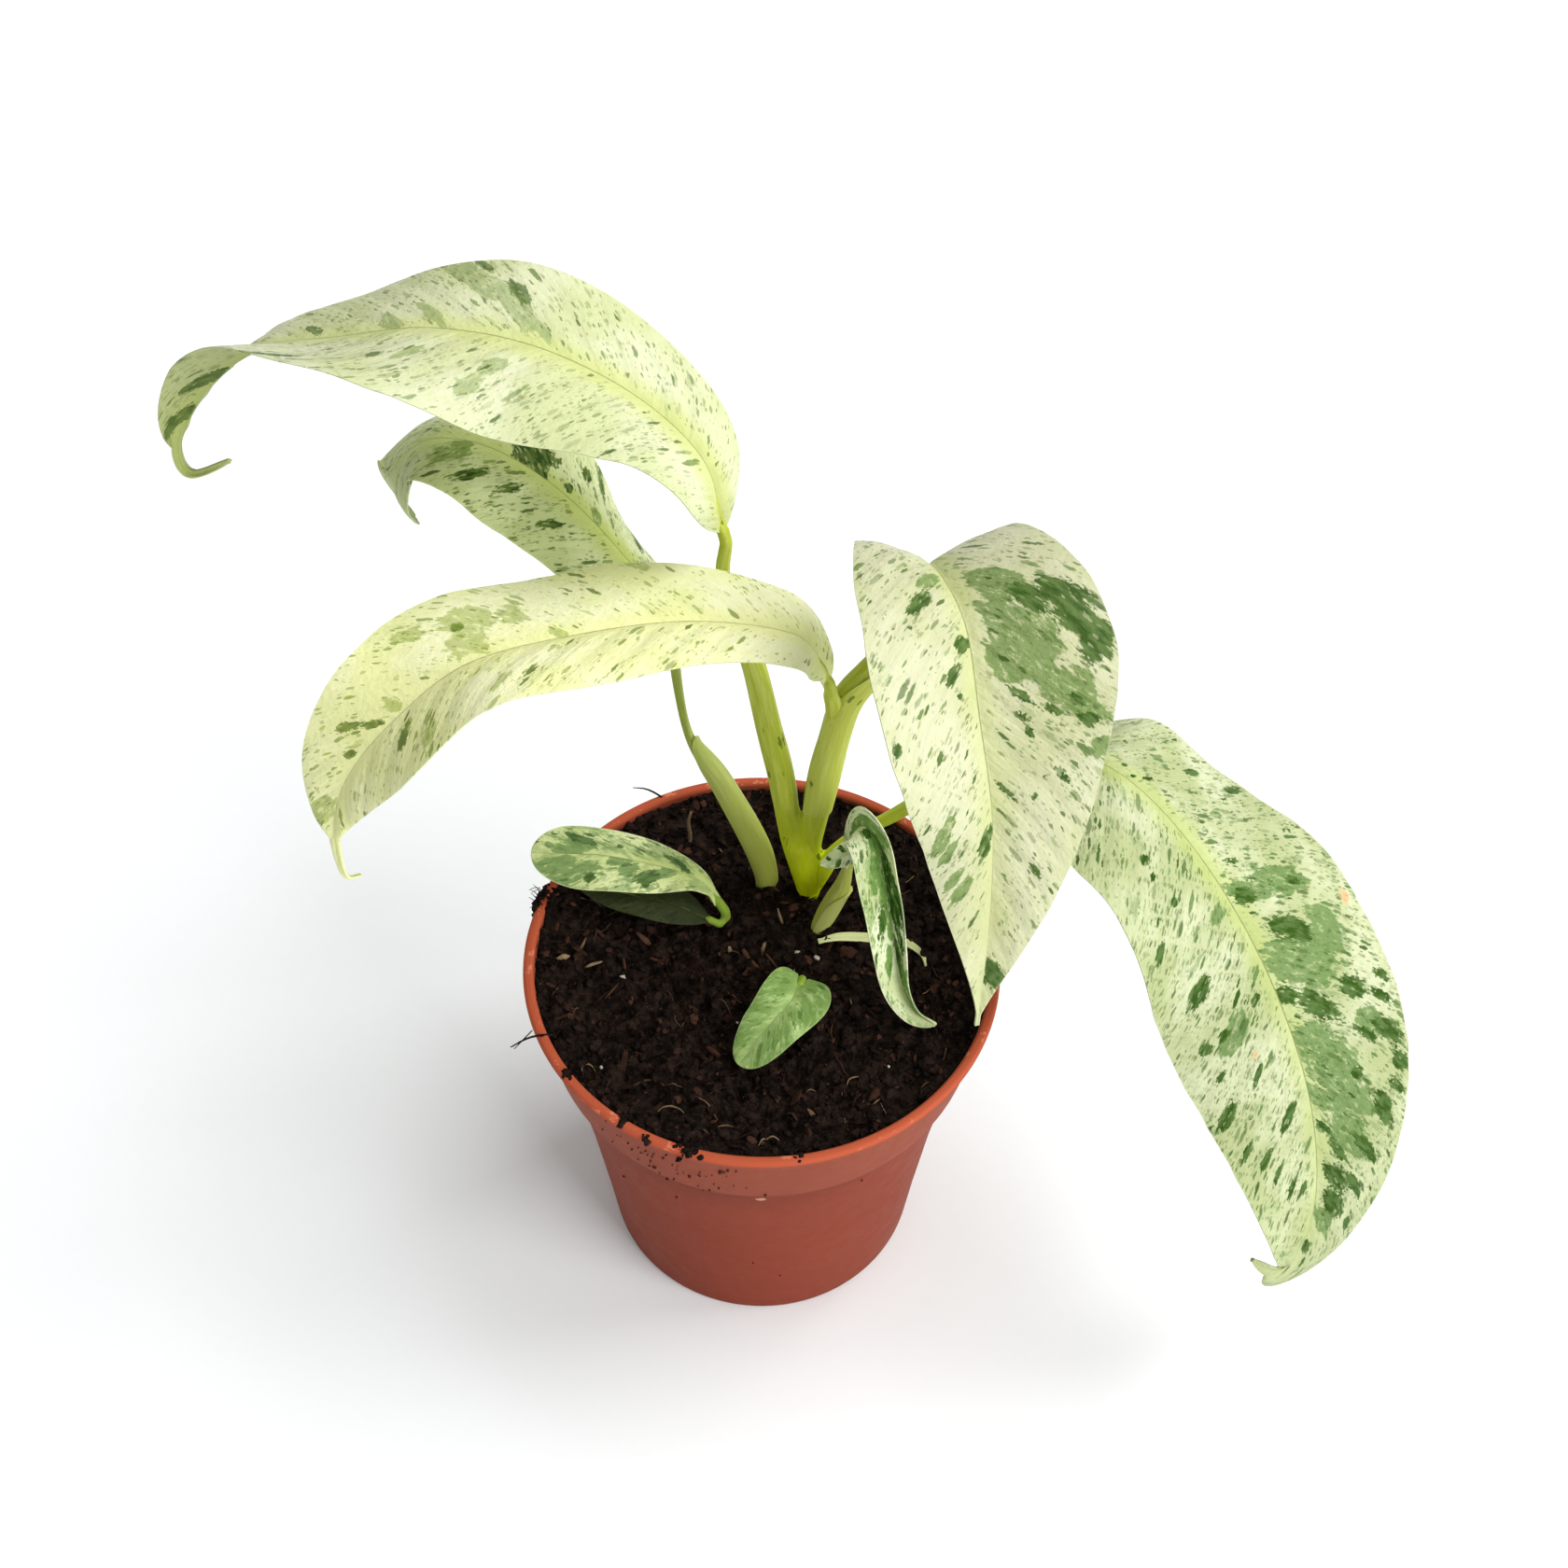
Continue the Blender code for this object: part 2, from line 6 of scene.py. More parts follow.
import bmesh
import bpy
import numpy as np
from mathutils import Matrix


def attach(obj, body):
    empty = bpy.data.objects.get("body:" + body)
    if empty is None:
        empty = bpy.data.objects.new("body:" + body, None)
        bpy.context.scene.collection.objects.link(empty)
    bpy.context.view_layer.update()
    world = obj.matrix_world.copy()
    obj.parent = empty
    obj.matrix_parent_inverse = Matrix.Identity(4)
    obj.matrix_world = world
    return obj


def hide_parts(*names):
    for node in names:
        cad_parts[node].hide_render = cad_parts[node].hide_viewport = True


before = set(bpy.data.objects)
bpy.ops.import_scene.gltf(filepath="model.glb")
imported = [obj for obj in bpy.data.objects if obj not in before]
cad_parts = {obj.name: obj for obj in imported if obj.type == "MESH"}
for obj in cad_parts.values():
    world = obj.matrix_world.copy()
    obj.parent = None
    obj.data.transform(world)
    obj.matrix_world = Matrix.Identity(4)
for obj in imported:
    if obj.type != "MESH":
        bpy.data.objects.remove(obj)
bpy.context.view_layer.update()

MM = 0.001
BODY = "root"
FRONT = np.array((0, -1.0, 0))
FULL_TURN = 2 * np.pi
SHOWN = 1.04  # how much brighter than its own colour the light shows a surface

# Pot: profiles as radius and height, outside upwards and inside downwards
POT_SIDES = 192
FLOOR = 2.8
RIM_TOP = 108.0
DRAIN_HOLES = 8
DRAIN_RADIUS = 3.2
DRAIN_CIRCLE = 32.5
POT_OUTSIDE = [
    (42.4, 0.0), (43.0, 0.8), (44.8, 20.0), (48.0, 50.0), (52.3, 81.5), (52.7, 82.5), (54.7, 83.5),
    (55.3, 85.5), (57.9, 101.0), (58.5, 105.0), (59.6, 105.4), (60.0, 106.2), (60.0, 107.3),
    (59.4, RIM_TOP),
]
POT_INSIDE = [
    (57.9, RIM_TOP), (57.3, 107.3), (54.0, 86.2), (53.4, 84.8), (51.4, 83.4), (51.0, 81.5),
    (46.7, 50.0), (43.5, 20.0), (41.9, 4.2), (40.4, FLOOR),
]
POT_UNDER = [(26.0, 0.0), (27.2, 1.3), (37.4, 1.3), (38.6, 0.0)]
CORNER = 0.6  # how far its corners are rounded
LOOSE = 0.12  # how far the rim is out of round and out of level

# Soil
SOIL_TOP = 102.5
SOIL_RISE = 2.8  # how much higher it stands at the wall
SOIL_RADIUS = 56.4
SOIL_WAVES = [(0.4, 0.31, 0.2, 0.9), (0.35, 0.63, -0.5, 1.3), (0.25, 0.45, 0.8, 1.6)]
SOIL_HEAPS = [(-54, 17, 2.2, 60), (-18, -52, 2.4, 30)]  # x, y, height and spread
SOIL_RINGS = 170
SOIL_SIDES = 320
# Soil that fell on the lip and over it: its middle, how far it reaches and how many bits
SPILLS = [
    (-57.6, 18.6, 107.2, 5.0, 90), (-17.6, -54.6, 107.6, 3.4, 60), (-20, -52.6, 105.6, 3.0, 40),
    (-54.6, 17, 105.0, 5, 70), (-33, -48.3, 107.6, 1.5, 9), (-26.4, -52.4, 107.4, 1.5, 8),
    (9, -58, 107.4, 1.2, 6), (-47, -35, 107.6, 1.4, 7),
]
# Specks of soil on the pot's wall: angle round the axis in degrees, height and half size
SPECKS = [
    (-123.5, 93.6, 0.7), (-115.9, 107.8, 0.7), (-117.7, 89.1, 0.9), (-137.5, 55.2, 0.7),
    (-114.9, 83.9, 0.8), (-107.9, 92, 0.8), (-99.6, 100, 1.3), (-97.9, 101.3, 0.8),
    (-115.3, 67, 0.6), (-89.1, 86, 0.8), (-114.2, 98.7, 0.5), (-92.8, 32.7, 0.5),
    (-60.9, 74.5, 0.7), (-83.6, 23.2, 0.5),
]
FINE_SPECKS = 44  # strewn round the ones above
# Bark chips, given one by one: x, y, three half sizes and a tint
CHIPS = [
    (-50.2, 1.6, 1.9, 0.9, 0.6, 0.85), (-42.5, -0.5, 2.2, 0.45, 0.4, 0.7), (0.4, 5.4, 1.7, 0.5, 0.4, 0.9),
    (-8.1, 5.1, 1.4, 0.6, 0.4, 0.8), (-3.8, 2.7, 3, 0.6, 0.4, 0.4), (-16.9, -0.2, 4.4, 1.6, 0.6, 0.12),
    (-30, 8, 3, 0.7, 0.4, 0.4), (-46, 6, 2.4, 0.5, 0.4, 0.6), (28, -24, 2, 0.5, 0.4, 0.6),
    (12, -44, 2.2, 0.6, 0.4, 0.5),
]
# Specks of perlite: x, y and half size
PERLITE = [(-35, -3.6, 1), (14.5, -12.4, 0.6), (9.1, 5.1, 0.8), (14.1, 3, 0.75), (-39, -31, 0.5),
           (-6, -17.5, 0.4), (33, -7, 0.5), (31, -30, 0.4)]
# Strands given one by one, as x, y, z and radius, and each one's steps: black ones over the lip,
# and then, with a tint, a pale upright twig and a slanting sliver
BLACK_STRANDS = [
    (12, [(-49, -21, 103.5, 0.3), (-53.6, -24.2, 108.3, 0.32), (-57, -25.6, 109, 0.26),
          (-61, -27.2, 107.6, 0.16)]),
    (8, [(-56, -23, 108.6, 0.14), (-58, -26.4, 109.4, 0.16), (-60, -28.4, 108.6, 0.1)]),
    (12, [(-22, 52, 103, 0.25), (-27.4, 52.4, 108.4, 0.3), (-31, 53.6, 109.8, 0.24),
          (-34.6, 53.6, 110.4, 0.12)]),
]
PALE_STRANDS = [
    (12, 0.7, [(-19.5, 40, 101, 0.5), (-19, 40.6, 106, 0.55), (-19.4, 41.4, 110.5, 0.5),
               (-18.6, 42, 114, 0.35)]),
    (9, 0.9, [(5.6, 14.6, 101, 0.35), (4.8, 15.4, 103.5, 0.4), (4.2, 16.2, 106, 0.2)]),
]
# Curled strands on the soil: x, y, radius of the curl, its start and sweep, and a tint
CURLS = [
    (-41.9, -32.4, 1.6, 0.4, 3.4, 0.6), (-21.7, -46, 3.8, 0.6, 1.9, 0.6), (2.5, -54, 3.6, 1.1, 1.6, 0.75),
    (-8, -53, 5.4, 1.3, 0.9, 0.55), (24, -37, 3.6, 1.2, 1.7, 0.6), (22.5, -20, 5.4, 2.6, 0.9, 0.35),
    (-27, -40, 5.6, 0.9, 1.7, 0.4), (-3, -5, 6.4, 3.6, 0.9, 0.35),
]

# Blades
BLADE = 0.62  # thickness
RIB = 1.1  # how far the midrib stands out below
RIB_SHARE = 0.12  # the same for narrow blades, as a share of their half width
LARGE = 12  # half width above which a blade counts as large
LARGE_GRID = (190, 65)  # rows along a large blade and columns across it
SMALL_GRID = (100, 41)
CROWD = 0.6  # how much the grid's rows crowd towards both ends
BASE_HALF = 1.5
TIP_HALF = 0.6
BEND = 3.0  # how far before the blade its stalk bends into line with it
VEIN_BASE = 60  # angle in degrees between the side veins and the midrib at the base
SLENDER_VEINS = {"young_leaf": 12, "low_leaf": 32}  # the same for slender blades
VEIN_TURN = 0.37  # share of that angle left at the tip
VEIN_GAP = 6.5
SMALL_VEIN_GAP = 3.2
QUILT = 0.38  # how far a large blade swells between its side veins
SMALL_QUILT = 0.14
CHANNEL = 0.35  # depth of the groove along the midrib
UNEVEN = 0.012  # how uneven the margin is, as a share of the half width

# Every blade: its midrib from base to tip, and stations of roll and fold in degrees, spread
# evenly along it. half holds the greatest half widths left and right, outline the shape at the
# base and the tip. Where a blade has them, wave holds the height and phase of the left and the
# right margin's two waves, and drip a drawn-out tip's share of the length and the half width.
BLADES = {
    "top_leaf": {
        "midrib": [
            (-8.5, 34.5, 219.5), (-12.5, 38.5, 236), (-27, 46, 247.5), (-48, 51, 256.5), (-70, 54, 259),
            (-91, 57, 254.5), (-110.5, 61, 248.5), (-124.5, 62, 236.5), (-132.5, 60.5, 223.5),
            (-131, 58, 216.5), (-120.5, 56, 221.5),
        ],
        "roll": [-2, -12, -20, -32, -59, -55], "fold": [5, 8, 32],
        "half": (24.5, 22.5), "outline": (0.62, 0.63), "wave": (5, 0.05, -2.5, 0.05), "drip": (0.1, 0.1),
    },
    "back_leaf": {
        "midrib": [
            (-24, 43, 191.5), (-42.5, 54.5, 209), (-59.5, 63.5, 217), (-74, 68.5, 217.5),
            (-82.5, 69, 213), (-86.5, 65, 206.5), (-83.5, 66, 196),
        ],
        "roll": [-5, -8, -7, -4, 3], "fold": [-23, -5, 7], "half": (17.5, 19), "outline": (0.3, 0.4),
        "wave": (-1.5, 0.35, -3, 0.9),
    },
    "left_leaf": {
        "midrib": [
            (15, 13.5, 193), (13.5, 13, 199.5), (6.5, 11.5, 210.5), (-15.5, 10.5, 215), (-40.5, 6, 215),
            (-62.5, 0.5, 212), (-78, -6.5, 202.5), (-89, -10.5, 190), (-94, -13, 178.5),
            (-94.5, -16, 170), (-93, -19, 164.5), (-90.5, -17, 162),
        ],
        "roll": [62, 18, 8, 4, 3, 20, 40, 47, 47], "fold": [1, 11, 17],
        "half": (18.5, 22.5), "outline": (0.78, 0.74), "wave": (-1.5, 0.4, 0.5, 0.65), "drip": (0.08, 0.07),
    },
    "right_leaf": {
        "midrib": [
            (34.5, 24, 209.5), (35.5, 14, 228.5), (41, -6.5, 232), (44, -22, 220), (47.5, -32.5, 200),
            (48, -42.5, 178), (47, -50, 151.5),
        ],
        "roll": [3, 1, -3, 2, -2, -1], "fold": [41, 18, 18, 15],
        "half": (29.5, 24.5), "outline": (0.77, 1.35), "wave": (1, 0.3, -3, 0.85),
    },
    "far_right_leaf": {
        "midrib": [
            (66.5, 15.5, 167.5), (78.5, 7.5, 172.5), (91, -1.5, 167.5), (105.5, -13, 153.5),
            (120, -24.5, 131), (131.5, -37, 105), (137, -48, 80), (136, -55.5, 62), (130, -59.5, 55.5),
            (121.5, -62, 65.5),
        ],
        "roll": [1, 8, -16, -21, -21, -1], "fold": [-10, -1, 23],
        "half": (33.5, 30), "outline": (0.31, 0.47), "wave": (-2, 0.55, 2.5, 0.65), "drip": (0.06, 0.07),
    },
    "young_leaf": {
        "midrib": [
            (21.5, 14.5, 126.5), (22, 14.5, 135), (23.5, 12.5, 143), (25.5, 9, 147.5), (28, 4.5, 146),
            (29.5, 0, 139.5), (31, -3.5, 132.5), (32.5, -8.5, 123.5), (34, -13, 114.5),
            (37.5, -17, 108.5), (43, -19.5, 106),
        ],
        "roll": [0, 10, 20, 20, 10], "fold": [20, 38, 45, 45], "half": (5.6, 7.6), "outline": (0.4, 0.5),
    },
    "young_flap": {
        "midrib": [(24, 5, 145.5), (20.5, 4.6, 142.8), (17, 4.6, 140.4), (14.3, 5, 138.6)],
        "roll": [40, 50, 30], "fold": [-10, -25, -20], "half": (3.2, 3), "outline": (0.35, 0.6),
        "wave": (0.5, 0.2, -0.4, 0.5),
    },
    "low_leaf": {
        "midrib": [
            (-11, 16, 109), (-13.5, 17.8, 112.5), (-18.5, 20.5, 114.5), (-28, 22.5, 116),
            (-41.5, 24, 118), (-59, 24, 119),
        ],
        "roll": [-5, -2, -3, -2, 5], "fold": [-5, -6, 1], "half": (9.5, 10), "outline": (1, 0.5),
        "wave": (-0.5, 0.65, -0.5, 0.95),
    },
    "low_under_leaf": {
        "midrib": [(-13.5, 12.7, 106), (-22, 14.7, 109.5), (-34, 16.7, 111), (-48, 18.7, 113)],
        "roll": [0, 4, 0], "fold": [4, 8, 4], "half": (6.3, 6), "outline": (0.6, 0.8),
        "wave": (0.4, 0.2, 0.4, 0.6),
    },
    "soil_leaf": {
        "midrib": [(9.5, -7.5, 106), (7, -16, 110), (1, -24, 110), (-5.5, -31, 105.5)],
        "roll": [14, 6, -5, -3, 2], "fold": [18, 9, 8], "half": (9.5, 8.5), "outline": (0.22, 0.45),
    },
    "scale_leaf": {
        "midrib": [
            (14.5, 7.2, 103.9), (20, 8.6, 103.8), (28, 8.2, 103.8), (36, 7, 104), (40.5, 3.2, 104.4),
            (41.5, -1, 105),
        ],
        "roll": [-6, 4, 10], "fold": [16, 20, 12], "half": (1.6, 1.5), "outline": (0.5, 0.7),
    },
}

# Larger markings, listed one by one: distance along the midrib, distance across it (negative on
# the left half), half length along the veins and half width across them
DARK_MARKS = {
    "top_leaf": [
        (76, 20.3, 3.5, 1.1), (67.5, 13, 4, 1.5), (112, 3.5, 3, 1.2), (92.7, -12, 2.2, 1.1),
        (112, -21, 9, 1.1), (141, -2.5, 8, 2), (155, -3, 7, 1.8),
    ],
    "back_leaf": [
        (43.7, 5, 6, 5), (40, 0.8, 5, 1.8), (53, -9.6, 4.5, 1.4), (43, -8, 3.6, 1.3),
        (30, -8.8, 3.2, 1.1), (32.6, 2.6, 1.6, 1.1), (32, 11.7, 2.2, 1.2), (27.7, 14.3, 5, 1),
        (11.6, 11.4, 3.8, 1.4),
    ],
    "left_leaf": [
        (120.1, 6.6, 3.4, 1), (115.5, 3, 3.4, 1), (110, -5.5, 3.4, 1.3), (124.5, 2.5, 1.8, 1),
        (78.2, -10.8, 2.6, 0.9), (90.5, 10.5, 1.4, 1.4),
    ],
    "right_leaf": [
        (42.3, -14, 4.2, 2.3), (41.7, -20.3, 4, 2.2), (46.4, -22.5, 4.6, 4.2), (52.6, -25, 3.2, 3.2),
        (50.5, -27.5, 2.4, 1.9), (39.7, 9.5, 4.7, 1.7), (48.4, 2.9, 1.6, 0.9), (49.1, 1.6, 2.3, 1.3),
        (54.7, 5.3, 3, 1.2), (69, -9.6, 1.5, 0.8), (68.2, -22, 2.4, 1.6), (63.2, -19.9, 2.2, 0.9),
        (60.4, -8.7, 3.5, 1), (64.6, -15, 2.3, 0.8), (80.4, -3.2, 3.5, 0.7), (90.2, 2.3, 3.8, 1.7),
        (92.9, 2.2, 1.6, 1.1), (79, -15.2, 2.8, 0.8), (98.3, -8.9, 2.4, 0.8), (69, 11.3, 1.6, 0.9),
        (123.9, -1.8, 5.8, 2.4), (65.4, 21.3, 1, 1), (58.9, 4.4, 0.8, 0.8), (65.4, -9.3, 2.6, 0.6),
        (82.5, -9, 0.8, 0.8), (79, -11.5, 0.7, 0.7), (45.7, 13.8, 0.6, 0.6), (43, 18.1, 0.6, 0.6),
    ],
    "far_right_leaf": [
        (33.7, -20, 3.3, 1), (45.8, -28.6, 3.6, 1.2), (19.2, -2.7, 0.9, 0.8), (36.8, 13.5, 1.3, 1.3),
        (40.8, 14.7, 1.2, 0.8), (53.5, -7.1, 2.5, 0.8), (69, -19, 2.6, 0.9), (61.6, -3.9, 3.9, 2.2),
        (75.6, -10, 7.6, 2.8), (49.1, 13.7, 1.2, 1.2), (89, -1.6, 4.1, 2.4), (96.8, -9.1, 7.9, 2.8),
        (97.7, -19.3, 4.6, 2.4), (112.1, -25.4, 4.9, 2.2), (120.6, -26.7, 3.7, 1.7),
        (110.2, -19, 4.3, 1.2), (117.8, -13.8, 1.8, 1.8), (127.9, -19.9, 4.5, 1.5),
        (73.7, 17.5, 4.9, 2.2), (90, 21.5, 1.9, 1.6), (56.1, 23.3, 2.8, 1.2), (89, 16.2, 2.1, 1.2),
        (85.1, 5.9, 2.1, 1.2), (111.2, 22, 4.8, 1.5), (119.6, 7, 4.8, 1.6), (143.5, -5.6, 5.8, 2.6),
        (150.7, -5, 5.2, 2.8), (143.5, 5.4, 2.8, 1.4), (124.3, 20.4, 3.8, 1.2), (158.1, -11.7, 2.3, 1.2),
        (163.7, -1, 2.5, 1.3), (128.8, 15.7, 3.3, 1.2), (113.1, 27.2, 0.9, 0.8), (99.7, 20.5, 1.8, 0.8),
        (15.6, -11.1, 0.7, 0.7), (61.6, -28.9, 2.4, 0.6), (132, -20, 5, 1.4), (138, -14, 6, 1.5),
        (136, -6, 5, 1.1), (147, -10.5, 5, 1.3), (126, -24.5, 4, 1.1), (104, -26.5, 4, 1.1),
        (100, -28.5, 3.4, 0.9), (152, -7, 4, 1.2), (128, -2.6, 4, 0.9), (141, 9, 4, 0.9),
        (134, 12.5, 3.6, 0.8), (104, 12, 3.4, 0.9),
    ],
    "low_leaf": [
        (39.6, 4.8, 4.2, 1.3), (21.3, -3.6, 3.4, 1.8), (14.4, 2.2, 4.8, 1.1), (36.3, -6.5, 1.8, 1.4),
        (29.6, 3.9, 0.9, 0.7), (21.3, -5.4, 1.2, 1.1),
    ],
    "young_leaf": [
        (34, -2.2, 6, 2.2), (44, -2, 7, 2.4), (28, -0.6, 2.4, 1.4), (42, -4.6, 8, 1.4), (24.4, 1.2, 2, 1),
        (47.6, 2.9, 4.4, 1), (57, -1.2, 6, 1.2), (52, -3, 5, 1.2),
    ],
    "young_flap": [(5, 1.5, 1.4, 0.6), (7.5, -1, 1.6, 0.6), (9.5, 0.6, 0.9, 0.5)],
}
GREY_MARKS = {
    "top_leaf": [
        (79, 17.5, 7.5, 2.6), (69, 10.5, 9, 2.4), (62, 5.5, 5, 1.4), (68, -8.7, 3.6, 2),
        (72, -15.5, 3.2, 1.8), (84, 4, 7, 1.3), (85.5, -9.6, 4.5, 0.9), (93, 2.5, 4, 2),
    ],
    "back_leaf": [(56, 8, 5, 3), (23.3, 2, 3, 1.4), (60, -4, 5, 3)],
    "left_leaf": [
        (88.8, 11.5, 5, 4), (89.5, 4.8, 4, 3.2), (79, 10.2, 3.6, 2), (70.5, 1.4, 2.8, 1.3),
        (98.5, 14.2, 2.8, 1.5), (105.1, -11.2, 2.8, 1.6), (140.5, 3.2, 4.4, 2.4), (109.3, 2.8, 2.4, 1.8),
        (84.9, -12, 3, 1), (51.5, 20, 3.5, 1.4),
    ],
    "right_leaf": [
        (37.1, -8.9, 5.7, 3.8), (40.4, -7.7, 3.5, 1.8), (45, -7.8, 5.5, 3.4), (50.5, -11.8, 7.2, 4.6),
        (53.3, -7.4, 5, 3), (61.8, -19.1, 8.4, 3.2), (59.6, -20.7, 4.9, 2.4), (85, 12.4, 3.4, 1.2),
        (89, 14.2, 3.2, 1.5), (56.1, -5.9, 2.3, 1), (34, 5.7, 4.2, 1.3), (75.4, -24.4, 2.8, 2),
        (91, 11.6, 3, 1), (97.4, 9.6, 3, 1.1), (100.4, 7.8, 3, 1.2),
    ],
    "far_right_leaf": [
        (65.2, -14.5, 8.5, 3), (61.6, -6.1, 8.3, 2), (44.1, -15, 2, 1.4), (83.2, -18.3, 5.8, 4),
        (85.1, -9.4, 10.9, 5.5), (106.4, -6.3, 11.3, 4), (118.7, -8.8, 11.2, 5), (132.4, -9.4, 10.1, 4),
        (59.7, 5, 2.6, 2), (90, 13.7, 5.8, 2.7), (119.6, -2.9, 9.7, 2.7), (155.2, -3, 4.9, 2),
        (108.3, -21.2, 4.4, 2.5), (79.4, -20.6, 4.6, 2),
    ],
    "low_leaf": [
        (41.9, -5.5, 9, 2.4), (29.3, -0.5, 3.6, 1.6), (43.1, 1, 4.4, 1.4), (45.1, -3, 6, 2),
        (25.8, -2.3, 2.6, 1.3), (39.2, 2.9, 4.4, 1.6), (18, -2, 4, 1.4),
    ],
    "young_leaf": [
        (23.3, -0.7, 5, 1.8), (62, -2.4, 9, 1.4), (58.9, 2.3, 5, 1), (72, -2, 5, 1), (35.6, 2.9, 6, 1),
        (14, 0, 8, 2), (31, 1, 7, 1.8), (41, 1, 7, 1.5), (51, 0.4, 7, 1.4), (26, -3, 5, 1.2),
    ],
}
RUST_MARKS = {"far_right_leaf": [(81.3, -29.8, 2.2, 1.4), (98.7, 11, 1.6, 1)]}

# Every blade's look: its slot, its tones (cream, deeper cream, vein, grey-green, dark green; the deeper
# cream also paints shade towards the tip), and its pattern: how much of it the flecks cover, how rare the
# smears are, how strong the midrib's tint is, how solid the grey patches are and how strong the dark marks
# are
BLADE_LOOKS = {
    "top_leaf": ("pale_blade", (207, 210, 175), (193, 199, 150), (190, 198, 118), (130, 150, 86),
        (58, 86, 28), (0.55, 0.66, 0.75, 0.62, 0.8)),
    "back_leaf": ("marbled_blade", (206, 213, 162), (182, 192, 134), (182, 194, 96), (126, 146, 72),
        (42, 68, 10), (0.6, 0.6)),
    "left_leaf": ("pale_blade", (237, 238, 194), (226, 229, 164), (228, 230, 158), (150, 168, 66),
        (80, 106, 20), (0.32, 0.68, 0.75, 0.6, 0.8)),
    "right_leaf": ("marbled_blade", (200, 201, 168), (188, 191, 147), (188, 198, 116), (114, 138, 76),
        (48, 80, 18), (0.48, 0.62, 0.45, 0.9, 0.95)),
    "far_right_leaf": ("marbled_blade", (195, 200, 163), (168, 177, 127), (174, 188, 102),
        (104, 132, 74), (45, 76, 4), (0.66, 0.57, 0.6)),
    "young_leaf": ("green_blade", (246, 250, 218), (204, 216, 158), (140, 172, 72), (106, 148, 60),
        (30, 68, 6), (0.55, 0.52, 0.2)),
    "low_leaf": ("green_blade", (230, 238, 180), (202, 214, 150), (192, 208, 120), (124, 152, 92),
        (70, 98, 50), (0.5, 0.48, 0.5)),
    # painted shade: low_under_leaf's tones are dark for the shade it lies in under low_leaf
    "low_under_leaf": ("green_blade", (60, 66, 40), (48, 54, 30), (50, 56, 30), (40, 48, 24),
        (28, 36, 16), (0.4, 0.5, 0.3)),
    "soil_leaf": ("green_blade", (194, 218, 148), (160, 190, 114), (156, 184, 100), (124, 158, 82),
        (82, 116, 50), (0.8, 0.42, 0.3)),
    "scale_leaf": ("pale_blade", (222, 226, 176), (206, 212, 150), (206, 212, 150), (180, 190, 130),
        (150, 160, 100), (0.1, 0.8, 0.2)),
}
BLADE_UNDER = (0.7, 0.74, 0.5, 1)  # what dulls the underside, and painted shade that darkens it
# Flecks from fine to large: length, width, share of the cover, strength
FLECKS = [(1.5, 0.55, 0.6, 0.7), (2.5, 0.75, 0.8, 0.8), (4.2, 1.05, 0.75, 0.95), (6.6, 1.6, 0.5, 1.0)]
FLECK_HALF = 0.46  # the largest fleck's half size, as a share of its cell
FLECK_EDGE = 0.14

# Stalks: each one's branches as points and radii. A branch that carries a blade runs on to that
# blade's base.
SHOOTS = {
    "central_shoot": [
        (None, [(12.4, 24.3, 84, 2.4), (12.4, 24.3, 97, 2.9), (12.4, 24.3, 102.5, 3.3),
            (11.7, 24.5, 110, 4.3), (10.8, 24.8, 117, 4.8), (10, 25, 124, 5)]),
        ("top_leaf", [(11.8, 24.6, 99, 2.4), (10.6, 25, 108, 2.8), (8.6, 25.8, 117, 3.1),
            (7.2, 26.3, 126, 3.5), (4.8, 27, 146, 3.5), (1.6, 28.2, 163, 3.2), (-1.6, 29.5, 181, 2.9),
            (-4.3, 30.5, 190, 2.6), (-6.8, 31.5, 199, 2.2), (-8.7, 32.6, 208, 1.75)]),
        ("right_leaf", [(12.4, 24.3, 99, 2.4), (12.2, 24.3, 108, 2.8), (12.2, 24.3, 117, 3.1),
            (12.8, 24.4, 127, 3.5), (14.8, 24, 147, 4), (17, 22, 165, 3.6), (19.6, 20.5, 180, 3.6),
            (24.4, 20.6, 189, 3.2), (29.4, 21.6, 197, 2.3)]),
        ("left_leaf", [(16.8, 21, 172, 1.7), (16.4, 18, 181, 1.9), (15.6, 15, 187.5, 1.7)]),
        ("far_right_leaf", [(13, 24.2, 103, 2.4), (15.5, 23.8, 111, 2.8), (18.5, 23.2, 120, 2.6),
            (22.6, 22.6, 127, 2.2), (27.7, 22, 132.5, 2), (33.3, 21.3, 138, 2), (50, 19.5, 156, 1.9)]),
    ],
    "left_shoot": [
        ("back_leaf", [(0.9, 28.2, 84, 2.2), (0.9, 28.2, 97, 2.7), (1.4, 28, 104, 3),
            (-0.4, 29, 113, 3.5), (-3.7, 30.5, 122, 3.5), (-7.6, 32, 131, 3.2), (-10.9, 33.4, 138, 2.9),
            (-13.9, 34.8, 142.5, 2.4), (-16.9, 36.3, 147, 1.5), (-18.6, 37.5, 152, 1.15),
            (-19.8, 39, 159, 1.15), (-20.8, 40.8, 169, 1.3), (-21.2, 41.3, 180, 1.3)]),
    ],
    "small_shoot": [
        ("young_leaf", [(14.3, 12.5, 84, 1.6), (14.3, 12.5, 97, 1.8), (14.6, 12.5, 102.5, 2),
            (16.4, 13.6, 107, 2.5), (18.4, 14.4, 112, 2.5), (20.4, 14.6, 118, 2.1)]),
    ],
    "low_shoot": [
        ("low_leaf", [(-9, 14.4, 84, 1.1), (-9, 14.4, 97, 1.3), (-9, 14.4, 102, 1.3)]),
        ("low_under_leaf", [(-9.2, 14.4, 99, 1), (-9.8, 14, 103.5, 1)]),
    ],
    "soil_leaf_stalk": [
        ("soil_leaf", [(10.2, -4.9, 86, 0.9), (10.2, -4.9, 97, 1.1), (10.2, -4.9, 102.5, 1.1)]),
    ],
}
SKIN_CELL = 0.3  # cell of the grid in which a shoot's stalks are melted into one skin
CROWN_CELL = 0.42  # the same for central_shoot
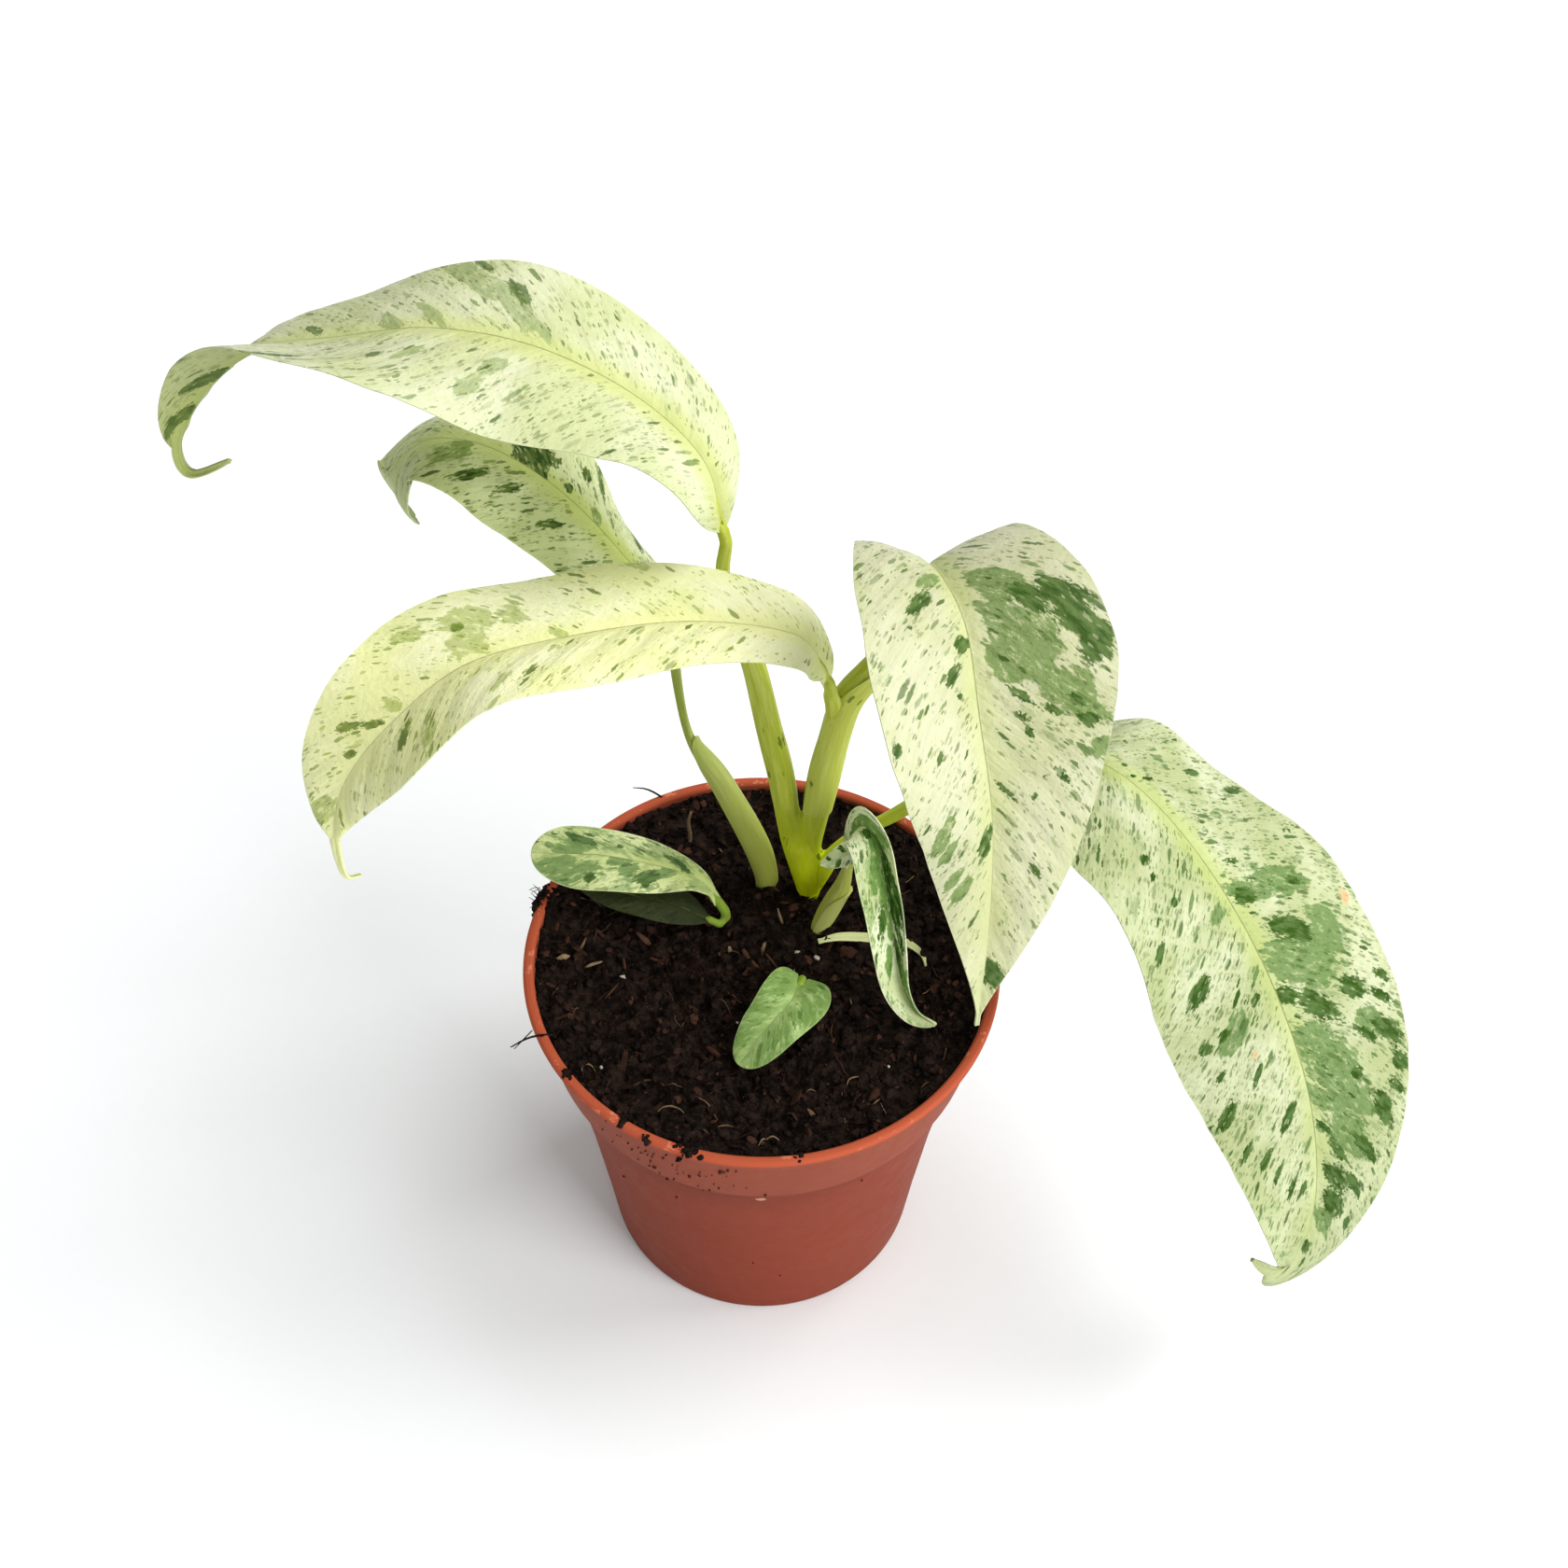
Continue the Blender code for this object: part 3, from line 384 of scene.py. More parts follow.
# How much slimmer a stalk's skin is than its solid, low down
SLIMMER = {"central_shoot": 0.08, "left_shoot": 0.12}
# Sheaths: branch, start and stop along it, angles of the two margins, and how far the margins
# stand out at the foot
SHEATHS = {
    "central_shoot": (2, 0.3, 0.78, (-60, 215), 0.2),
    "left_shoot": (0, 0.08, 0.56, (-75, 200), 0.3),
    "small_shoot": (0, 0.3, 0.75, (-40, 190), 0.3),
}
SHEATH_GAP = 0.12
# Every stalk look: its shoots, how many spots it has, and its tones low, high and in pale streaks
STALK_LOOKS = {
    "central_stalk": (["central_shoot"], 0.1, (222, 236, 0), (174, 184, 62), (212, 218, 120)),
    "left_stalk": (["left_shoot"], 0, (188, 198, 62), (150, 164, 74), (204, 210, 132)),
    "small_stalk": (["small_shoot"], 0, (176, 182, 80), (178, 186, 100), (220, 222, 156)),
    "green_stalk": (["low_shoot", "soil_leaf_stalk"], 0, (140, 166, 62), (140, 166, 62), (176, 190, 100)),
}

# Scene, in metres, degrees and watts, with the lens in millimetres
CAMERA = (0, -0.2901, 0.5101)
CAMERA_TILT = 40.8
LENS = 45
LENS_SHIFT = 0.0143
LAMPS = {"key": ((1.74, 0.63, 3.2), 86), "side": ((2.53, -1.97, 1.85), 108)}
LAMP_SIZE = 2.1
LAMP_AIM = 0.12  # height of the point that they shine on
SKY = 0.47
FLOOR_HALF = 4.0


# Shapes
def xyz(x, y, z):
    """Points from three coordinates, spread out to one shape."""
    return np.stack(np.broadcast_arrays(x, y, z), axis=-1)


def polar(radius, angle):
    return radius * np.cos(angle), radius * np.sin(angle)


def unit(vectors):
    return vectors / np.linalg.norm(vectors, axis=-1, keepdims=True)


def lattice(cells, seed):
    """A repeatable number from -1 to 1 for each whole-numbered cell."""
    mixed = (cells[..., 0] * 374761393 + cells[..., 1] * 668265263
             + cells[..., 2] * 144269497 + seed * 974711) & 0xFFFFFFFF
    mixed = ((mixed ^ (mixed >> 13)) * 1274126177) & 0xFFFFFFFF
    return ((mixed ^ (mixed >> 16)) & 0xFFFF) / 32767.5 - 1


def noise(x, y, size, seed=0, octaves=1):
    """Smooth noise on a plane, about -1 to 1, with lumps of the given size."""
    total = 0
    for octave in range(octaves):
        place = xyz(x, y, 0.0) / size * 2**octave
        cell = np.floor(place).astype(np.int64)
        part = place - cell
        part = part * part * (3 - 2 * part)
        value = 0
        for corner in np.ndindex(2, 2, 2):
            weight = np.prod(np.where(corner, part, 1 - part), axis=-1)
            value = value + weight * lattice(cell + np.array(corner), seed + 7 * octave)
        total = total + value * 0.5**octave
    return total


def along(count, crowd):
    """Shares from 0 to 1 along a path, crowded towards both ends."""
    even = np.linspace(0, 1, count)
    return (1 - crowd) * even + crowd * (1 - np.cos(np.pi * even)) / 2


def spline(a, b, c, d, u):
    return 0.5 * (2 * b + (c - a) * u + (2 * a - 5 * b + 4 * c - d) * u**2
                  + (3 * b - a - 3 * c + d) * u**3)


def extended(values):
    """The values with one more at each end, carried straight on."""
    given = np.array(values, dtype=float)
    return np.concatenate([[2 * given[0] - given[1]], given, [2 * given[-1] - given[-2]]])


def smooth_path(points, count, crowd=0.0):
    """count points of a smooth curve through the given ones, and its length. Columns past the
    third follow along, such as a radius."""
    given = extended(points)
    fine = []
    for i in range(1, len(given) - 2):
        for u in np.linspace(0, 1, 24, endpoint=False):
            fine.append(spline(*given[i - 1:i + 3], u))
    fine = np.array([*fine, given[-2]])
    steps = np.linalg.norm(np.diff(fine[:, :3], axis=0), axis=1)
    run = np.concatenate([[0], np.cumsum(steps)])
    path = [np.interp(along(count, crowd) * run[-1], run, column) for column in fine.T]
    return np.stack(path, axis=-1), run[-1]


def stations(values, share):
    """Evenly spread station values, smoothly interpolated at each share of the length."""
    place = share * (len(values) - 1)
    i = np.clip(place.astype(int), 0, len(values) - 2)
    given = extended(values)
    return spline(given[i], given[i + 1], given[i + 2], given[i + 3], place - i)


def carried(ahead, first):
    """A direction square to a path, carried along it without a twist."""
    made = [unit(first - ahead[0] * (ahead[0] @ first))]
    for way in ahead[1:]:
        made.append(unit(made[-1] - way * (made[-1] @ way)))
    return np.array(made)


def quads(index):
    """Four-sided faces between the neighbours in a grid of point numbers."""
    corners = index[:-1, :-1], index[:-1, 1:], index[1:, 1:], index[1:, :-1]
    return np.stack(corners, -1).reshape(-1, 4)


def slab(upper, lower):
    """Points and faces of a thin closed sheet between two grids."""
    rows, wide = upper.shape[:2]
    index = np.arange(rows * wide).reshape(rows, wide)
    below = index + rows * wide
    faces = [quads(index), quads(below)[:, (0, 3, 2, 1)]]
    for top, foot, order in ((index[0], below[0], 1), (index[-1], below[-1], -1),
                             (index[:, 0], below[:, 0], -1), (index[:, -1], below[:, -1], 1)):
        faces.append(np.stack([top[:-1], foot[:-1], foot[1:], top[1:]][::order], -1))
    return np.concatenate([upper.reshape(-1, 3), lower.reshape(-1, 3)]), np.concatenate(faces).tolist()


def ring_faces(count, sides):
    """Faces of a body of count rings of points, closed at both ends."""
    index = np.arange(count * sides).reshape(count, sides)
    faces = quads(np.hstack([index, index[:, :1]])).tolist()
    return faces + [index[0][::-1].tolist(), index[-1].tolist()]


def tube(route, sides):
    """Points and faces of a tube along (x, y, z, radius) rows, and the ways to its front and its
    right at each row."""
    path = route[:, :3]
    ahead = unit(np.gradient(path, axis=0))
    guide = FRONT if abs(ahead[0] @ FRONT) < 0.9 else np.array((1.0, 0, 0))
    front = carried(ahead, guide)
    right = np.cross(ahead, front)
    angle = FULL_TURN * np.arange(sides)[:, None] / sides
    out = front[:, None] * np.cos(angle) + right[:, None] * np.sin(angle)
    rings = path[:, None] + out * route[:, 3, None, None]
    return rings.reshape(-1, 3), ring_faces(len(path), sides), front, right


def joined(parts):
    """One list of points and one of faces from several pairs."""
    points, faces, start = [], [], 0
    for some, theirs in parts:
        points.append(some)
        faces += [[i + start for i in face] for face in theirs]
        start += len(some)
    return np.concatenate(points), faces


def add_object(name, data):
    made = bpy.data.objects.new(name, data)
    bpy.context.scene.collection.objects.link(made)
    return made


def add_piece(name, points, faces, look, slot, stands_for=None, sharp=None, **facts):
    """A piece of the object from points in millimetres. facts hold a number, or three, for each
    point, which its look reads."""
    mesh = bpy.data.meshes.new(name)
    mesh.from_pydata((points * MM).tolist(), [], faces)
    shape = bmesh.new()
    shape.from_mesh(mesh)
    bmesh.ops.recalc_face_normals(shape, faces=shape.faces)
    shape.to_mesh(mesh)
    shape.free()
    mesh.shade_smooth()
    if sharp:
        mesh.set_sharp_from_angle(angle=math.radians(sharp))
    mesh.materials.append(look)
    for key, values in facts.items():
        values = np.asarray(values, dtype=np.float32)
        kind, field = ("FLOAT", "value") if values.ndim == 1 else ("FLOAT_VECTOR", "vector")
        mesh.attributes.new(key, kind, "POINT").data.foreach_set(field, values.ravel())
    made = add_object(name, mesh)
    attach(made, BODY)
    if stands_for:
        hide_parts(stands_for)
    return made


def apply_modifiers(made):
    graph = bpy.context.evaluated_depsgraph_get()
    mesh = bpy.data.meshes.new_from_object(made.evaluated_get(graph))
    made.modifiers.clear()
    made.data = mesh


# Looks
def tone(*shown):
    """The own colour of a surface that the studio light shows with these values of 0 to 255."""
    share = np.array(shown) / 255
    linear = np.where(share < 0.04045, share / 12.92, ((share + 0.055) / 1.055) ** 2.4)
    return (*(linear / SHOWN).tolist(), 1.0)


class Look:
    """A material in the making. Its methods add nodes and return their outputs, and colour is
    what they have mixed so far."""

    def __init__(self, name, roughness, specular, colour=None):
        self.material = bpy.data.materials.new(name)
        self.material.use_nodes = True
        self.tree = self.material.node_tree
        self.sockets = self.tree.nodes["Principled BSDF"].inputs
        self.sockets["Roughness"].default_value = roughness
        self.sockets["Specular IOR Level"].default_value = specular
        self.colour = colour

    def put(self, socket, value):
        if isinstance(value, bpy.types.NodeSocket):
            self.tree.links.new(value, socket)
        else:
            socket.default_value = value

    def add(self, kind, values, output=0, **settings):
        made = self.tree.nodes.new("ShaderNode" + kind)
        for key, value in settings.items():
            setattr(made, key, value)
        for key, value in values.items():
            self.put(made.inputs[key], value)
        return made.outputs if output is None else made.outputs[output]

    def fact(self, name, output="Fac"):
        return self.add("Attribute", {}, output, attribute_name=name)

    def plane(self, x, y):
        return self.add("CombineXYZ", {0: self.fact(x), 1: self.fact(y)})

    def place(self):
        """The place on the object in millimetres."""
        return self.scaled(self.add("TexCoord", {}, "Object"), (1000, 1000, 1000))

    def math(self, operation, *values, clamp=False):
        return self.add("Math", dict(enumerate(values)), operation=operation, use_clamp=clamp)

    def plus(self, one, two):
        return self.math("ADD", one, two)

    def times(self, one, two, clamp=False):
        return self.math("MULTIPLY", one, two, clamp=clamp)

    def line(self, value, factor, shift):
        return self.math("MULTIPLY_ADD", value, factor, shift)

    def scaled(self, place, factors, shift=(0, 0, 0)):
        return self.add("VectorMath", {0: place, 1: factors, 2: shift}, operation="MULTIPLY_ADD")

    def step(self, value, low, high, least=0.0, most=1.0):
        """Rises smoothly from least to most as value goes from low to high."""
        values = {0: value, 1: low, 2: high, 3: least, 4: most}
        return self.add("MapRange", values, interpolation_type="SMOOTHSTEP")

    def mix(self, share, one, two, blend="MIX"):
        return self.add("Mix", {0: share, 6: one, 7: two}, 2, data_type="RGBA", blend_type=blend)

    def paint(self, share, colour, blend="MIX"):
        self.colour = self.mix(share, self.colour, colour, blend)

    def noise(self, place, scale, detail=2.0, rough=0.5, output=0):
        """Smooth noise. scale is the number of lumps in a millimetre, or three for the three ways."""
        if isinstance(scale, tuple):
            place, scale = self.scaled(place, scale), 1.0
        values = {"Vector": place, "Scale": scale, "Detail": detail, "Roughness": rough}
        return self.add("TexNoise", values, output)

    def ragged(self, place, scale, amount):
        """The place pushed about by fine noise, for uneven outlines."""
        push = self.noise(place, scale, 3, 0.6, 1)
        push = self.scaled(push, (amount, amount, amount), (-amount / 2,) * 3)
        return self.add("VectorMath", {0: push, 1: place}, operation="ADD")

    def flecks(self, place, length, width, cover, seed):
        """Ovals, at most one in each cell of a net. cover is the share of cells with one.
        Returns how much of a fleck lies here and the cell's own chance numbers."""
        cell = self.scaled(place, (1 / length, 1 / width, 0), (3.7 * seed, 9.1 * seed, 0))
        net = self.add("TexVoronoi", {"Vector": cell, "Scale": 1.0}, None, voronoi_dimensions="2D")
        chance = self.add("SeparateXYZ", {0: net["Color"]}, None)
        bare = self.math("SUBTRACT", 1.0, cover)
        size = self.add("MapRange", {0: chance[0], 1: bare, 2: 1.0, 3: 0.0, 4: FLECK_HALF})
        return self.step(net["Distance"], size, self.math("SUBTRACT", size, FLECK_EDGE)), chance

    def finish(self, roughness, height, depth, light_below=()):
        """Sets the surface. depth is the bumps' in millimetres. light_below is how much light
        goes through below the surface, how far in each colour, and the unit of that."""
        self.put(self.sockets["Base Color"], self.colour)
        self.put(self.sockets["Roughness"], roughness)
        for key, value in zip(("Weight", "Radius", "Scale"), light_below):
            self.sockets["Subsurface " + key].default_value = value
        bump = self.add("Bump", {"Height": height, "Distance": depth * MM, "Strength": 1.0})
        self.put(self.sockets["Normal"], bump)
        return self.material


def blade_look(name, cream, shade, vein, mid, dark, cover=0.5, mottle=0.66, halo=0.75, fill=0.92,
               strong=1.0):
    """Cream leaf with green flecks and smears along its side veins."""
    look = Look(name, 0.42, 0.08)
    place = look.plane("along_vein", "across_vein")
    off_midrib, share = look.fact("off_midrib"), look.fact("share")
    rough_place = look.ragged(place, 0.7, 1.0)

    look.colour = look.mix(look.step(look.noise(place, 0.05, 3), 0.38, 0.62), cream, shade)
    streaks = look.noise(rough_place, (0.3, 0.9, 0), 4, 0.65)
    look.paint(look.step(streaks, 0.42, 0.7, 0.0, 0.6), shade)
    # painted shade: the blade darkens towards its tip, where it turns away from the light
    look.paint(look.step(share, 0.5, 1.0, 0.0, 0.5), shade)
    fading = look.times(look.step(share, 1.0, 0.1, 0.45, 1.0), halo)
    look.paint(look.times(look.step(off_midrib, 6.5, 0.8), fading), vein)
    # thin greyish clouds below the surface
    cloud = look.noise(rough_place, (0.1, 0.24, 0), 5, 0.66)
    look.paint(look.step(cloud, mottle, mottle + 0.12, 0.0, 0.55), mid)
    # grey-green patches with uneven edges and a broken inside
    edge = look.line(look.noise(rough_place, (0.3, 0.8, 0), 5, 0.7), 2.4, -1.2)
    coarse = look.line(look.noise(rough_place, (0.12, 0.26, 0), 3, 0.6), 2.0, -1.0)
    grey = look.plus(look.line(edge, 0.5, look.fact("grey_mark")), coarse)
    inner = look.noise(rough_place, (0.3, 0.75, 0), 5, 0.7)
    grey_tone = look.mix(look.step(inner, 0.54, 0.62, 0.0, 0.75), mid, shade)
    grey_tone = look.mix(look.step(inner, 0.46, 0.36, 0.0, 0.6), grey_tone, dark)
    look.paint(look.step(grey, -0.14, 0.02, 0.0, fill), grey_tone)
    splash = look.noise(rough_place, (0.2, 0.52, 0), 5, 0.72)
    splash = look.step(splash, mottle + 0.03, mottle + 0.07, 0.0, 0.75)
    look.paint(look.times(splash, look.step(off_midrib, 0.8, 3)), mid)

    # flecks thin out on the midrib and change in number over the blade
    soft_dark = look.mix(0.5, mid, dark)
    for seed, (length, width, share_of, strength) in enumerate(FLECKS):
        number = look.line(look.noise(place, 0.08 + 0.02 * seed, 2), 3.2, cover - 1.6)
        number = look.times(number, look.step(off_midrib, 0.6, 3.5), clamp=True)
        there, chance = look.flecks(rough_place, length, width, look.times(number, share_of), seed + 1)
        fleck_tone = look.mix(look.step(chance[2], 0.0, 0.5), mid, soft_dark)
        fleck_tone = look.mix(look.step(chance[2], 0.5, 0.9, 0.0, strong), fleck_tone, dark)
        amount = look.step(chance[1], 0, 1, 0.35 * strong, strength * (0.4 + 0.6 * strong))
        look.paint(look.times(there, amount), fleck_tone)

    # dark marks with torn edges and small gaps
    torn = look.line(look.noise(rough_place, (0.7, 1.9, 0), 3, 0.6), 1.3, -0.65)
    patch = look.plus(look.line(edge, 0.6, look.fact("dark_mark")), look.line(coarse, 0.5, torn))
    patch = look.step(patch, -0.06, 0.14, 0.0, 0.4 + 0.6 * strong)
    gaps, _ = look.flecks(rough_place, 2.8, 0.9, 0.45, 9)
    clouds = look.step(look.noise(rough_place, (0.25, 0.8, 0), 4), 0.38, 0.62)
    look.paint(look.times(patch, look.line(gaps, -0.4, 1.0)), look.mix(clouds, dark, soft_dark))
    rust = look.plus(look.fact("rust_mark"), edge)
    look.paint(look.step(rust, 0.0, 0.7, 0.0, 0.7), tone(222, 160, 112))

    # the midrib's narrow groove in painted shade, the thin pale margin, and the underside, duller and
    # darkened by painted shade
    # painted shade: a darker line along the midrib's groove
    broken = look.step(look.noise(place, 0.14, 3), 0.5, 0.68, 0.0, 0.4)
    look.paint(look.times(look.step(off_midrib, 0.5, 0.1), broken), tone(164, 178, 92))
    look.paint(look.step(look.fact("off_margin"), 0.4, 0.1, 0.0, 0.35), cream)
    # painted shade: the underside is made duller and darker, for its own tone and for the shade it lies in
    look.paint(look.times(look.fact("under"), 0.85), BLADE_UNDER, "MULTIPLY")
    grain = look.plus(look.noise(place, 0.6, 4, 0.6), look.noise(place, (0.12, 0.8, 0), 3))
    return look.finish(look.step(look.noise(place, 0.9, 3), 0.2, 0.8, 0.36, 0.5), grain, 0.3,
                       (0.1, (0.8, 1.0, 0.4), 0.001))


def stalk_look(name, spots, low, high, pale):
    look = Look(name, 0.45, 0.04)
    place, height = look.fact("stem_place", "Vector"), look.fact("height")
    look.colour = look.mix(look.step(height, 104, 150), low, high)
    streaks = look.noise(place, (0.9, 0.9, 0.05), 4, 0.6)
    upper = look.step(height, 112, 150, 0.15, 0.55)
    look.paint(look.times(look.step(streaks, 0.42, 0.7), upper), pale)
    fine = look.noise(place, (2.4, 2.4, 0.16), 3)
    dim = look.mix(0.5, look.colour, tone(110, 122, 40), "MULTIPLY")
    look.paint(look.step(fine, 0.5, 0.8, 0.0, 0.4), dim)
    look.paint(look.times(look.fact("sheath"), 0.3), pale)
    if spots:
        there, _ = look.flecks(look.ragged(look.plane("run", "round"), 0.7, 1.0), 5, 1.6, spots, 4)
        look.paint(look.times(there, 0.75), tone(74, 96, 32))
    # brown at the foot, where it leaves the soil
    foot = look.plus(height, look.times(streaks, 6))
    look.paint(look.step(foot, 107, 103, 0, 0.7), tone(96, 84, 40))
    return look.finish(look.step(fine, 0.3, 0.7, 0.36, 0.5), look.plus(fine, look.times(streaks, 2)),
                       0.08, (0.15, (0.9, 1.0, 0.3), 0.0018))


def pot_look():
    look = Look("terracotta_plastic", 0.55, 0.03, tone(141, 70, 51))
    place = look.place()
    x, y, z = look.add("SeparateXYZ", {0: place}, None)
    look.paint(look.step(look.noise(place, 0.03, 3), 0.35, 0.65), tone(146, 74, 55))
    streaks = look.noise(place, (0.35, 0.35, 0.03), 4, 0.6)
    look.paint(look.step(streaks, 0.45, 0.75, 0.0, 0.25), tone(126, 60, 44))
    # painted light and shade: the lip is painted brighter for the light it catches, and the wall below the
    # collar deeper for the shade it is in
    look.paint(look.times(look.step(z, 106.2, 107.5), 0.85), tone(190, 90, 61))
    look.paint(look.step(z, 86, 84, 0.0, 0.7), tone(130, 53, 34))
    # painted highlight: bright patches along the top of the lip stand in for glints of the lamps
    lip_highlight = look.step(look.noise(place, (0.25, 0.25, 0.6), 4, 0.7), 0.58, 0.66)
    look.paint(look.times(look.times(lip_highlight, look.step(z, 106.9, 107.6)), 0.6), tone(232, 146, 114))
    # a pale nick in the wall
    nick = look.scaled(look.ragged(place, 0.6, 1.6), (0.7, 0.5, 1.1))
    nick = look.add("VectorMath", {0: nick, 1: (-0.14, -25.8, 84.7)}, "Value", operation="DISTANCE")
    look.paint(look.times(look.step(nick, 1.1, 0.6), 0.8), tone(224, 172, 152))
    # darker on the inside wall above the soil, most of all lower down
    radius = look.math("SQRT", look.plus(look.times(x, x), look.times(y, y)))
    inside = look.step(look.math("SUBTRACT", radius, look.line(z, 0.1564, 40.75)), -0.9, -1.4)
    inside_darkening = look.step(look.plus(z, look.times(look.noise(place, 0.035, 2), 9)), 109, 105, 0.0, 0.55)
    look.paint(look.times(inside, inside_darkening), tone(92, 46, 34))
    roughness = look.step(look.noise(place, 0.25, 4, 0.6), 0.3, 0.7, 0.44, 0.52)
    ridges = look.times(look.math("SINE", look.times(z, 2.1)), 0.06)
    return look.finish(roughness, look.plus(look.noise(place, 1.6, 4, 0.6), ridges), 0.04)


def soil_look(name, light):
    """Peat and fibres. tint, from 0 to 1, makes single bits lighter."""
    look = Look(name, 0.85, 0.04, tone(13, 9, 8))
    place, tint = look.place(), look.fact("tint")
    coarse = look.noise(place, 0.35, 4, 0.65)
    fine = look.noise(place, 1.6, 4, 0.7)
    grain = look.noise(place, 3.0, 3)
    look.paint(look.step(coarse, 0.35, 0.68), tone(48, 36, 31))
    look.paint(look.step(fine, 0.54, 0.8, 0.0, 0.6), tone(78, 62, 50))
    look.paint(look.step(fine, 0.45, 0.3, 0.0, 0.7), tone(10, 6, 5))
    look.paint(look.step(tint, 0.04, 0.4, 0.0, 0.8), tone(92, 60, 46))
    look.paint(look.times(look.step(tint, 0.3, 1.0), look.step(grain, 0.2, 0.6, 0.6, 1.0)), light)
    return look.finish(look.step(coarse, 0.3, 0.7, 0.62, 0.95),
                       look.plus(fine, look.times(grain, 0.5)), 0.5)


# Blades
def half_width(blade, share):
    """Half width along the blade, as a share of its greatest: an oval with a drawn-out tip."""
    base, tip = blade["outline"]
    drip_length, drip_width = blade.get("drip", (0, 0))
    body = np.clip(share / (1 - drip_length), 0, 1)
    peak = base / (base + tip)
    oval = body**base * (1 - body) ** tip / (peak**base * (1 - peak) ** tip)
    if drip_length == 0:
        return oval
    drip = drip_width * np.sqrt(np.clip((1 - share) / drip_length, 0, 1))
    return np.where(share > 0.5, np.maximum(oval, drip), oval)


def blade_frames(blade, rows):
    """Points along the midrib, its length, and the ways ahead, aside and up at each point."""
    path, length = smooth_path(blade["midrib"], rows, CROWD)
    ahead = unit(np.gradient(path, axis=0))
    side = carried(ahead, np.cross(ahead[0], (0, 0, 1.0)))
    up = np.cross(side, ahead)
    roll = np.radians(stations(blade["roll"], along(rows, CROWD)))[:, None]
    side, up = side * np.cos(roll) + up * np.sin(roll), up * np.cos(roll) - side * np.sin(roll)
    return path, length, ahead, side, up


def vein_place(run, off, length, wide):
    """Where a point lies along the side veins and across them. The veins leave the midrib at a
    wide angle and turn towards the tip. The map keeps shapes, so markings keep theirs."""
    bend = wide * (1 - VEIN_TURN) / length
    place = run + 1j * np.abs(off)
    mapped = np.exp(-1j * wide) * (np.exp(1j * bend * place) - 1) / (1j * bend)
    return mapped.real, mapped.imag


def marks_at(marks, along_vein, across_vein, right_half, length, wide):
    """How far inside the nearest marking each point lies: 1 at a centre, 0 on an edge."""
    depth = np.full(along_vein.shape, -1.0)
    for run, off, half_length, half in marks:
        centre = vein_place(run, off, length, wide)
        far = np.hypot((along_vein - centre[0]) / half_length, (across_vein - centre[1]) / half)
        depth = np.where(right_half == (off > 0), np.maximum(depth, 1 - far), depth)
    return depth


def blade_grid(name):
    """The blade's middle surface, the ways up, what its look needs to know at each point, and
    its half width and how far off the midrib and across the veins each point lies."""
    blade = BLADES[name]
    large = blade["half"][0] > LARGE
    rows, wide = LARGE_GRID if large else SMALL_GRID
    seed = sorted(BLADES).index(name) * 11 + 5
    path, length, ahead, side, up = blade_frames(blade, rows)
    share = along(rows, CROWD)
    fold = np.radians(stations(blade["fold"], share))[:, None]
    share = share[:, None]
    shape = half_width(blade, share)
    least = BASE_HALF + (TIP_HALF - BASE_HALF) * share
    if name == "scale_leaf":
        least = least * 0.5
    even = np.linspace(-1, 1, wide)[None, :]
    right = even > 0
    left_wave, left_phase, right_wave, right_phase = blade.get("wave", (0, 0, 0, 0))
    height = np.where(right, right_wave, left_wave)
    phase = np.where(right, right_phase, left_phase)
    half = np.maximum(shape * np.where(right, blade["half"][1], blade["half"][0]), least)
    # the margin is a little uneven
    run = share * length
    half = half * (1 + UNEVEN * noise(run, 40.0 * right, 9, seed, 2) * np.minimum(1, half / 8))
    wave = height * np.sin(2 * np.pi * (2 * share + phase)) * np.sqrt(shape)
    # the columns crowd towards the midrib where the blade is wide
    place = np.sign(even) * np.abs(even) ** 1.25
    across = even + (place - even) * np.clip((half - 0.6) / 4, 0, 1)
    soft = 0.05
    bent = (np.sqrt(across**2 + soft**2) - soft) / (math.sqrt(1 + soft**2) - soft)
    off = half * across
    out = off * np.cos(fold)
    lift = half * bent * np.sin(fold) + (wave - 0.1 * half) * across**2
    # gentle swells, and a heart-shaped base where the blade has one
    swell = (0.35 if large else 0.12) * noise(run, off, 22, seed + 3, 2)
    lift = lift + swell * np.minimum(1, np.abs(off) / 6)
    grid = path[:, None] + side[:, None] * out[..., None] + up[:, None] * lift[..., None]
    if name == "soil_leaf":
        back = 3.4 * np.abs(across) ** 1.5 * np.exp(-(share / 0.16) ** 2)
        grid -= ahead[:, None] * back[..., None]
    wide_angle = math.radians(SLENDER_VEINS.get(name, VEIN_BASE))
    along_vein, across_vein = vein_place(run, off, length, wide_angle)
    facts = {
        "along_vein": along_vein + 60.0 * right + seed,
        "across_vein": across_vein + 3 * seed,
        "off_midrib": np.abs(off),
        "off_margin": half - np.abs(off),
        "share": share + 0 * off,
    }
    for kind, table in (("dark", DARK_MARKS), ("grey", GREY_MARKS), ("rust", RUST_MARKS)):
        facts[kind + "_mark"] = marks_at(table.get(name, []), along_vein, across_vein, right, length,
                                         wide_angle)
    return grid, up, facts, half, off, across_vein


